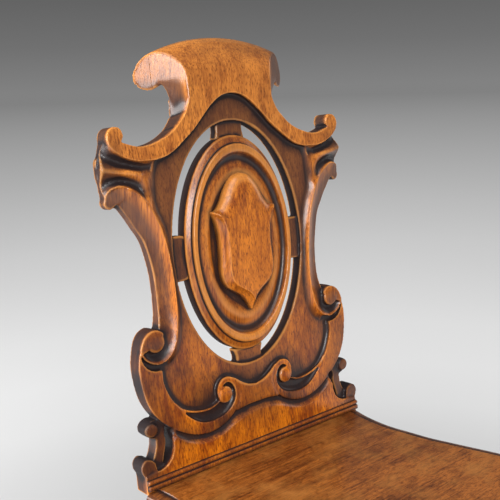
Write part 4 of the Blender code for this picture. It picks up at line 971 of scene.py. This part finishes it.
def seat_mesh(sizes):
    """The seat board: a plan with a rounded and stepped edge, square at the rear."""
    half = smooth_line([(x * MM, y * MM) for x, y in SEAT_EDGE], 6 * MM)
    plan = np.array([(x, -y) for x, y in half] + [(-x, -y) for x, y in half[::-1][1:]])
    normal = -side_normals(plan)
    normal[0], normal[-1] = (-1, 0), (1, 0)
    ovolo = sizes.seat_ovolo
    section = [(ovolo + inward * MM, drop * MM) for inward, drop in SEAT_LIP]
    for turn in (math.pi / 2 * k / 8 for k in range(9)):
        section.append((ovolo * (1 - math.sin(turn)) * 0.94 + 0.4 * MM,
                        -1.3 * MM - 5.0 * MM * (1 - math.cos(turn))))
    section += [(inward * MM, drop * MM) for inward, drop in SEAT_NOSING]
    bm = bmesh.new()
    return skinned(bm, [
        loop_edges(bm, [(x, y + BACK_LINE - SEAT_GAP, SEAT_TOP + drop)
                        for x, y in plan + normal * inward]) for inward, drop in section])


def bead_mesh():
    """The strip and bead along the foot of the back, in bench millimetres."""
    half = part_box("foot_bead")[1].x / MM
    section = list(STRIP_SECTION)
    for turn in (math.pi * (0.06 + 0.88 * k / 8) for k in range(9)):
        section.append((8.7 - 2.1 * math.cos(turn), 1.35 + 1.9 * math.sin(turn)))
    section += [(10.9, 1.0), (11.2, 0.5), (11.45, -0.02)]
    bm = bmesh.new()
    return skinned(bm, [loop_edges(bm, [(half * (k / 60 - 1), v, out) for v, out in section])
                        for k in range(121)])


def merged_copy(node):
    """A copy of a node's mesh with its split points merged."""
    bm = bmesh.new()
    bm.from_mesh(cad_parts[node].data)
    bmesh.ops.remove_doubles(bm, verts=bm.verts, dist=1e-5)
    return bm


def ease_edges(bm, width):
    """Bevels the sharp edges, once flat faces are whole again."""
    bmesh.ops.dissolve_limit(bm, angle_limit=math.radians(1.0), verts=bm.verts, edges=bm.edges)
    edges = [e for e in bm.edges if len(e.link_faces) == 2
             and e.calc_face_angle(0) > math.radians(35)]
    bmesh.ops.bevel(bm, geom=edges, offset=width, affect="EDGES", segments=2, profile=0.5,
                    material=-1, clamp_overlap=True)


def eased_copy(node, width):
    """A copy of a node's mesh with its edges eased."""
    bm = merged_copy(node)
    ease_edges(bm, width)
    bmesh.ops.recalc_face_normals(bm, faces=bm.faces)
    return bm


def front_leg_mesh(node, sizes):
    """A front leg: its square block from the frame, and the turning spun below it."""
    low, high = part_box(node)
    x, y = (low.x + high.x) / 2, (low.y + high.y) / 2
    base = high.z - LEG_BLOCK
    bm = merged_copy(node)
    cut(bm, (x, y, base + 1 * MM), (0, 0, 1), clear_inner=True)
    bmesh.ops.contextual_create(bm, geom=[e for e in bm.edges if e.is_boundary])
    for vert in bm.verts:
        if vert.co.z < base + 1.01 * MM:
            vert.co.z = base
    ease_edges(bm, sizes.ease)
    line = smooth_line([(up * base, r * sizes.leg_radius) for r, up in LEG_TURNING], 2.0 * MM)
    top = base + 6 * MM
    spun(bm, [(x, y, top), (x + line[0, 1], y, top), *((x + r, y, z) for z, r in line),
              (x, y, 0)], (x, y))
    bmesh.ops.remove_doubles(bm, verts=bm.verts, dist=1e-6)
    bmesh.ops.recalc_face_normals(bm, faces=bm.faces)
    return bm


# Finishes


def fill(tree, node, given):
    """Sets or joins a node's inputs, by name or number."""
    for name, value in given.items():
        if isinstance(value, bpy.types.NodeSocket):
            tree.links.new(value, node.inputs[name])
        else:
            node.inputs[name].default_value = value


def add(tree, kind, given, out=0, **settings):
    """One output of a new node, or all of them where out is None."""
    node = tree.nodes.new("ShaderNode" + kind)
    for name, value in settings.items():
        setattr(node, name, value)
    fill(tree, node, given)
    return node.outputs if out is None else node.outputs[out]


def calc(tree, operation, *values):
    """A sum of plain values."""
    return add(tree, "Math", dict(enumerate(values)), operation=operation)


def mix(tree, amount, low, high, blend="MIX"):
    """One colour laid over another."""
    return add(tree, "Mix", {0: amount, 6: low, 7: high}, 2, data_type="RGBA",
               blend_type=blend)


def stretched(tree, vector, scale):
    """Coordinates drawn together by a scale along each axis."""
    return add(tree, "Mapping", {"Vector": vector, "Scale": scale})


def noise(tree, vector, scale, detail=3.0, rough=0.55, distortion=0.0):
    """Noise with so many waves a metre along each axis."""
    return add(tree, "TexNoise", {
        "Vector": stretched(tree, vector, scale), "Scale": 1.0, "Detail": detail,
        "Roughness": rough, "Distortion": distortion})


def between(tree, value, low, high):
    """0 to 1 as a value goes from low to high."""
    return add(tree, "MapRange", {"Value": value, "From Min": low, "From Max": high})


def mask_node(tree, name):
    """A mask stored at the mesh's points."""
    return add(tree, "Attribute", {}, "Fac", attribute_name=name)


def bumped(tree, height, strength, distance):
    """A normal that follows the wood's pores."""
    return add(tree, "Bump", {"Height": height, "Strength": strength, "Distance": distance})


def grey_ramp(tree, value, levels):
    """Greys along a value, from rows of place and level."""
    node = tree.nodes.new("ShaderNodeValToRGB")
    while len(node.color_ramp.elements) < len(levels):
        node.color_ramp.elements.new(0.5)
    for element, (at, level) in zip(node.color_ramp.elements, levels):
        element.position = at
        element.color = (level, level, level, 1)
    fill(tree, node, {0: value})
    return node.outputs[0]


def seen_share(tree):
    """1 for what the camera sees, also in a gloss, and 0 for the light that falls on things."""
    path = add(tree, "LightPath", {}, None)
    gloss = calc(tree, "MAXIMUM", path["Is Glossy Ray"], path["Is Transmission Ray"])
    return calc(tree, "MAXIMUM", path["Is Camera Ray"], gloss)


def new_group(name, inputs, outputs):
    """A group of nodes, with sockets from names and kinds."""
    group = bpy.data.node_groups.new(name, "ShaderNodeTree")
    for side, entries in (("INPUT", inputs), ("OUTPUT", outputs)):
        for title, kind in entries.items():
            group.interface.new_socket(name=title, in_out=side,
                                       socket_type="NodeSocket" + kind)
    given = group.nodes.new("NodeGroupInput").outputs
    return group, given, group.nodes.new("NodeGroupOutput")


def place_group(tree, group, **values):
    """The outputs of a group placed in a tree."""
    return add(tree, "Group", values, None, node_tree=bpy.data.node_groups[group])


def oak_group():
    """Oak's figure along Z: growth bands, streaks, short dark pores and mottle."""
    group, given, out = new_group(
        "oak_figure", {"Vector": "Vector", "Light": "Color", "Dark": "Color", "Pores": "Float",
                       "Mottle": "Float"},
        {"Color": "Color", "Height": "Float", "Mottle": "Float"})
    warp, band, streak, pore, mottle = (noise(group, given["Vector"], *row) for row in (
        ((14, 14, 3), 2.0), ((55, 55, 2.2), 3.0, 0.6, 0.6), ((420, 420, 9), 2.0, 0.5),
        ((1100, 1100, 75), 1.0, 0.5), ((26, 26, 11), 3.0, 0.6)))
    figure = calc(group, "MULTIPLY_ADD", band, 0.47, calc(group, "MULTIPLY", streak, 0.43))
    figure = between(group, calc(group, "MULTIPLY_ADD", warp, 0.25, figure), 0.475, 0.655)
    colour = mix(group, figure, given["Dark"], given["Light"])
    dull = calc(group, "MULTIPLY", between(group, mottle, 0.42, 0.60), given["Mottle"])
    colour = mix(group, dull, colour, mix(group, 0.55, colour, given["Dark"]))
    pits = calc(group, "MULTIPLY", between(group, pore, 0.54, 0.66), given["Pores"])
    colour = mix(group, pits, colour, mix(group, 1.0, colour, (0.30, 0.22, 0.18, 1),
                                          "MULTIPLY"))
    height = calc(group, "SUBTRACT", calc(group, "MULTIPLY", streak, 0.35), pits)
    fill(group, out, {"Color": colour, "Mottle": mottle, "Height": height})


def patina_group():
    """Stain and painted shade in the sunk field, old wax and painted shade in the hollows, and
    pale rubbed arrises with painted highlights.
    """
    group, given, out = new_group(
        "wax_and_wear", {"Wood": "Color", "Field": "Color", "Wax": "Color", "Worn": "Color",
                         "Stain": "Float", "Hollow": "Float", "Wear": "Float",
                         "Mottle": "Float", "Matte": "Float"},
        {"Color": "Color", "Roughness": "Float", "Polish": "Float"})

    def along(value, slope, start):
        """A straight line of one value."""
        return calc(group, "MULTIPLY_ADD", value, slope, start)

    mottle = given["Mottle"]
    stained = mix(group, calc(group, "MULTIPLY", given["Stain"], 0.88), given["Wood"],
                  mix(group, 0.11, given["Field"], given["Wood"]))
    uneven = calc(group, "ADD", given["Hollow"], along(mottle, 0.5, -0.25))
    dark = calc(group, "MULTIPLY", between(group, uneven, 0.06, 0.72), 0.95)
    rub = calc(group, "ADD", given["Wear"], along(mottle, 1.2, -0.6))
    rub = calc(group, "MULTIPLY", between(group, rub, 0.45, 1.25), 0.6)
    colour = mix(group, rub, mix(group, dark, stained, given["Wax"]), given["Worn"])
    rough = along(given["Matte"], 0.45, along(dark, 0.08, along(mottle, 0.16, 0.26)))
    polish = calc(group, "MULTIPLY", along(mottle, -0.6, 0.92), along(dark, -0.4, 1.0))
    polish = calc(group, "MULTIPLY", polish, calc(group, "SUBTRACT", 1.0, given["Matte"]))
    fill(group, out, {"Color": colour, "Roughness": rough, "Polish": polish})


def new_material(name):
    """A material with one plain shader in its tree."""
    material = bpy.data.materials.new(name)
    material.use_nodes = True
    tree = material.node_tree
    tree.nodes.clear()
    shader = tree.nodes.new("ShaderNodeBsdfPrincipled")
    fill(tree, tree.nodes.new("ShaderNodeOutputMaterial"), {0: shader.outputs[0]})
    return material, tree, shader


def grain_vector(tree, turn):
    """Object coordinates turned so that the grain runs along Z."""
    place = add(tree, "TexCoord", {}, "Object")
    return add(tree, "Mapping", {"Vector": place, "Rotation": turn})


def oak_material(name, turn, light, dark, finish, carved, pores=0.6, mottle=0.4, bump=0.12,
                 clouds=0.0):
    """A waxed oak from the shared figure group and the group of patina, painted shade and painted
    highlights.
    """
    material, tree, shader = new_material(name)
    grain = grain_vector(tree, turn)
    if carved:
        fade = mask_node(tree, "fade")
        light = mix(tree, fade, light, finish.faded)
        dark = mix(tree, fade, dark, finish.faded_dark)
    figured = stretched(tree, grain, (1.0, 1.0, 2.4)) if clouds else grain
    figure = place_group(tree, "oak_figure", Vector=figured, Light=light, Dark=dark,
                         Pores=pores, Mottle=mottle)
    wood = figure["Color"]
    if clouds:
        cloud = noise(tree, grain, (120, 120, 60), 5.0, 0.7, 1.0)
        cloud = calc(tree, "MULTIPLY", between(tree, cloud, 0.45, 0.62), clouds)
        wood = mix(tree, cloud, wood, mix(tree, 0.6, wood, dark, "MULTIPLY"))
    patina = place_group(tree, "wax_and_wear", Wood=wood, Field=finish.field, Wax=finish.wax,
                         Worn=finish.worn, Stain=mask_node(tree, "stain") if carved else 0.0,
                         Hollow=mask_node(tree, "hollow"), Wear=mask_node(tree, "wear"),
                         Mottle=figure["Mottle"], Matte=mask_node(tree, "matte"))
    fill(tree, shader, {
        "Base Color": patina["Color"], "Roughness": patina["Roughness"],
        "Coat Weight": patina["Polish"], "Coat Roughness": 0.2, "Coat IOR": 1.62,
        "Specular IOR Level": 0.2, "Normal": bumped(tree, figure["Height"], bump, 0.0006)})
    return material


def steel_material(finish):
    """Old screws, dull and browned in patches."""
    material, tree, shader = new_material("old_screw_steel")
    spots = noise(tree, grain_vector(tree, UP), (900, 900, 900), 4.0)
    fill(tree, shader, {
        "Base Color": mix(tree, between(tree, spots, 0.4, 0.65), finish.steel,
                          (0.09, 0.05, 0.03, 1)),
        "Roughness": calc(tree, "MULTIPLY_ADD", spots, 0.4, 0.25), "Metallic": 0.9})
    return material


def bare_material(finish):
    """Unpolished wood under the seat."""
    material, tree, shader = new_material("bare_wood_across")
    figure = place_group(tree, "oak_figure", Vector=grain_vector(tree, ACROSS),
                         Light=finish.bare, Dark=finish.bare_dark, Pores=0.4, Mottle=0.6)
    fill(tree, shader, {
        "Base Color": figure["Color"],
        "Roughness": calc(tree, "MULTIPLY_ADD", figure["Mottle"], 0.2, 0.62),
        "Normal": bumped(tree, figure["Height"], 0.25, 0.0008)})
    return material


# Light and camera


def studio_floor():
    """A wide floor with painted light: its grey changes with the distance from the chair, and it
    glows for what the camera sees, also in a gloss.
    """
    bm = bmesh.new()
    bmesh.ops.create_grid(bm, x_segments=8, y_segments=8, size=60.0)
    floor = new_object("floor", bm)
    material, tree, shader = new_material("studio_floor")
    away = add(tree, "VectorMath", {0: add(tree, "TexCoord", {}, "Object")}, "Value",
               operation="LENGTH")
    share = calc(tree, "DIVIDE", away, calc(tree, "ADD", away, 3.0))
    grey = grey_ramp(tree, share, FLOOR_LEVELS)
    fill(tree, shader, {
        "Base Color": grey, "Emission Color": grey, "Roughness": 1.0,
        "Specular IOR Level": 0.0,
        "Emission Strength": calc(tree, "MULTIPLY", seen_share(tree), 0.55)})
    dress(floor, material)


def set_world(scene, level):
    """A soft sky for the light, and a grey one painted darker upwards for the background."""
    world = bpy.data.worlds.new("studio_sky")
    world.use_nodes = True
    tree = world.node_tree
    tree.nodes.clear()
    way = add(tree, "TexCoord", {}, "Generated")
    height = add(tree, "SeparateXYZ", {0: way}, "Z")
    soft = add(tree, "Background", {"Color": (1, 1, 1, 1), "Strength": level})
    shown = add(tree, "Background", {"Color": grey_ramp(tree, height, SKY_LEVELS)})
    sky = add(tree, "MixShader", {0: seen_share(tree), 1: soft, 2: shown})
    fill(tree, tree.nodes.new("ShaderNodeOutputWorld"), {0: sky})
    scene.world = world


def softbox(context, name, place, target, wide, high, power):
    """A rectangular lamp that faces its target."""
    light = bpy.data.lights.new(name, "AREA")
    light.shape = "RECTANGLE"
    light.size, light.size_y, light.energy = wide, high, power
    lamp = bpy.data.objects.new(name, light)
    lamp.location = place
    lamp.rotation_euler = (Vector(target) - Vector(place)).to_track_quat("-Z", "Y").to_euler()
    context.scene.collection.objects.link(lamp)


def camera_from_photo(context):
    """The photograph's camera: beside the sitter's right shoulder, looking down at the back."""
    camera = bpy.data.cameras.new("photo_camera")
    camera.lens = 54.0
    view = bpy.data.objects.new("photo_camera", camera)
    turn = (Matrix.Rotation(math.radians(2.5), 4, "X")
            @ Matrix.Rotation(math.radians(-38.79), 4, "Z")
            @ Matrix.Rotation(math.radians(90 - 14.22), 4, "X"))
    view.matrix_world = Matrix.Translation((-0.4933, BACK_LINE - 0.6077, 0.8469)) @ turn
    context.scene.collection.objects.link(view)
    context.scene.camera = view


# Operators


def sizes_of(context):
    """Sizes of the carving and the turning, and the colours."""
    scene = context.scene
    return scene.hallchair_carving, scene.hallchair_turning, scene.hallchair_finish


class HALLCHAIR_OT_back(bpy.types.Operator):
    """Carves the back board, the block behind its crest, the medallion and the shield"""

    bl_idname = "hallchair.back"
    bl_label = "Carved Back"

    def execute(self, context):
        sizes, _, finish = sizes_of(context)
        board = carved_board(sizes)
        block = cut_crest_block(board)
        thin_out(board, sizes.face_budget)
        thin_out(block, BLOCK_FACES)
        medallion = new_object("medallion", medallion_mesh())
        bend_masks(medallion, 0.16, 5)
        paint_medallion(medallion.data)
        shield = new_object("shield", shield_mesh())
        bend_masks(shield, 0.12, 4)
        paint_shield(shield.data)
        tree = tree_of([board.data, medallion.data, shield.data])
        oak = oak_material("waxed_carved_oak", BACK_GRAIN, finish.gold, finish.amber, finish,
                           True, 0.75, 0.7)
        for piece, node in ((board, "back_panel"), (medallion, "back_panel"),
                            (shield, "shield_boss"), (block, "crest_back_block")):
            mesh = piece.data
            # Painted shade: the more a point is closed in by the carving, the more dark wax it
            # gets
            closed = spread_values(mesh, cavity(mesh, tree, CAVITY_REACH), 2)
            closed = rise(closed, 0.10, 0.34)
            set_mask(mesh, "hollow", mask_of(mesh, "hollow") * 0.85 + closed)
            place_from_bench(piece)
            stand(piece, oak, node)
        return {"FINISHED"}


class HALLCHAIR_OT_seat(bpy.types.Operator):
    """Makes the moulded seat board and the bead at the foot of the back"""

    bl_idname = "hallchair.seat"
    bl_label = "Seat and Bead"

    def execute(self, context):
        _, turning, finish = sizes_of(context)
        seat = new_object("seat_top", seat_mesh(turning))
        seat.data.shade_flat()
        drop = (SEAT_TOP - points_of(seat.data)[:, 2]) / MM
        # Painted shade: the moulding below the top darker, with painted shadow lines under the
        # top's arris and at the ovolo's step
        set_mask(seat.data, "hollow",
                 0.30 * (drop > 0.3) + lines_at(drop, ((1.2, 0.2, 0.6), (6.9, 0.3, 0.4))))
        # A painted highlight along the top's arris, and a broad pale band down the nosing
        set_mask(seat.data, "wear", lines_at(drop, ((10, 3.2, 0.7), (0, 0.15, 0.5))))
        stand(seat, oak_material("waxed_seat_oak", ACROSS, finish.seat, finish.seat_dark,
                                 finish, False, 0.7, 0.6, 0.2, 0.75), "seat_board")
        bead = new_object("foot_strip", bead_mesh())
        up = points_of(bead.data)[:, 1]
        # Painted shade in the strip's grooves and a little over all of it, and painted highlights
        # on the strip's edge and the bead
        grooves = lines_at(up, ((5.5, 0.5, 0.9), (11.3, 0.6, 0.9), (0.2, 0.6, 0.9)))
        set_mask(bead.data, "hollow", grooves + 0.12)
        set_mask(bead.data, "wear", lines_at(up, ((4.6, 0.4, 0.55), (8.7, 0.8, 0.5))))
        set_mask(bead.data, "stain", 0.55)
        place_from_bench(bead)
        stand(bead, bpy.data.materials["waxed_carved_oak"], "foot_bead")
        return {"FINISHED"}


class HALLCHAIR_OT_legs(bpy.types.Operator):
    """Turns the front legs and eases the rear legs and rails"""

    bl_idname = "hallchair.legs"
    bl_label = "Legs and Rails"

    def execute(self, context):
        _, turning, finish = sizes_of(context)
        upright, cross, along = (
            oak_material(name, turn, finish.legs, finish.legs_dark, finish, False)
            for name, turn in (("leg_oak", UP), ("rail_oak", ACROSS), ("side_rail_oak", ALONG)))
        for name, node, oak in (("turned_leg_left", "front_leg_left", upright),
                                ("swept_leg_left", "rear_leg_left", upright),
                                ("turned_leg_right", "front_leg_right", upright),
                                ("swept_leg_right", "rear_leg_right", upright),
                                ("eased_front_rail", "front_rail", cross),
                                ("eased_side_rail_left", "side_rail_left", along),
                                ("eased_side_rail_right", "side_rail_right", along)):
            if name.startswith("turned"):
                piece = new_object(name, front_leg_mesh(node, turning))
                bend_masks(piece, 1.1 * MM, 6)
                edge_masks(piece, turning.ease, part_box(node)[1].z - LEG_BLOCK - 0.5 * MM)
            else:
                piece = new_object(name, eased_copy(node, turning.ease))
                piece.data.shade_flat()
                edge_masks(piece, turning.ease)
            stand(piece, oak, node)
        return {"FINISHED"}


class HALLCHAIR_OT_frame(bpy.types.Operator):
    """Finishes the hidden blocks, the rear rail and the screws"""

    bl_idname = "hallchair.frame"
    bl_label = "Blocks and Screws"

    def execute(self, context):
        finish = sizes_of(context)[2]
        bare, steel = bare_material(finish), steel_material(finish)
        for name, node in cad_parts.items():
            if "screw" in name:
                dress(node, steel)
            elif "block" in name and name != "crest_back_block" or name == "rear_rail":
                dress(node, bare)
        return {"FINISHED"}


class HALLCHAIR_OT_stage(bpy.types.Operator):
    """Sets the floor, the light and the camera"""

    bl_idname = "hallchair.stage"
    bl_label = "Stage"

    def execute(self, context):
        settings = context.scene.hallchair_stage
        studio_floor()
        set_world(context.scene, settings.sky_level)
        for *lamp, share in LAMPS:
            softbox(context, *lamp, settings.key_power * share)
        camera_from_photo(context)
        return {"FINISHED"}


class HALLCHAIR_PT_panel(bpy.types.Panel):
    """Lists the operators and their settings"""

    bl_label = "Hall Chair"
    bl_idname = "HALLCHAIR_PT_panel"
    bl_space_type = "VIEW_3D"
    bl_region_type = "UI"
    bl_category = "Hall Chair"

    def draw(self, context):
        for operator in OPERATORS:
            self.layout.operator(operator.bl_idname)
        for name, group in GROUPS.items():
            box = self.layout.box()
            settings = getattr(context.scene, name)
            for prop in group.__annotations__:
                box.prop(settings, prop)


GROUPS = {"hallchair_carving": CarvingSizes, "hallchair_turning": TurningSizes,
          "hallchair_finish": OakFinish, "hallchair_stage": StageSettings}
OPERATORS = (HALLCHAIR_OT_back, HALLCHAIR_OT_seat, HALLCHAIR_OT_legs, HALLCHAIR_OT_frame,
             HALLCHAIR_OT_stage)


def register():
    """Registers the settings, the operators and the panel."""
    for cls in (*GROUPS.values(), *OPERATORS, HALLCHAIR_PT_panel):
        bpy.utils.register_class(cls)
    for name, group in GROUPS.items():
        setattr(bpy.types.Scene, name, bpy.props.PointerProperty(type=group))


def unregister():
    """Takes all of them out again."""
    for name in GROUPS:
        delattr(bpy.types.Scene, name)
    for cls in reversed((*GROUPS.values(), *OPERATORS, HALLCHAIR_PT_panel)):
        bpy.utils.unregister_class(cls)


def main():
    """Builds the whole chair and its stage."""
    register()
    oak_group()
    patina_group()
    bpy.context.scene.view_settings.view_transform = "Standard"
    bpy.ops.hallchair.back()
    bpy.ops.hallchair.seat()
    bpy.ops.hallchair.legs()
    bpy.ops.hallchair.frame()
    bpy.ops.hallchair.stage()


if __name__ == "__main__":
    main()
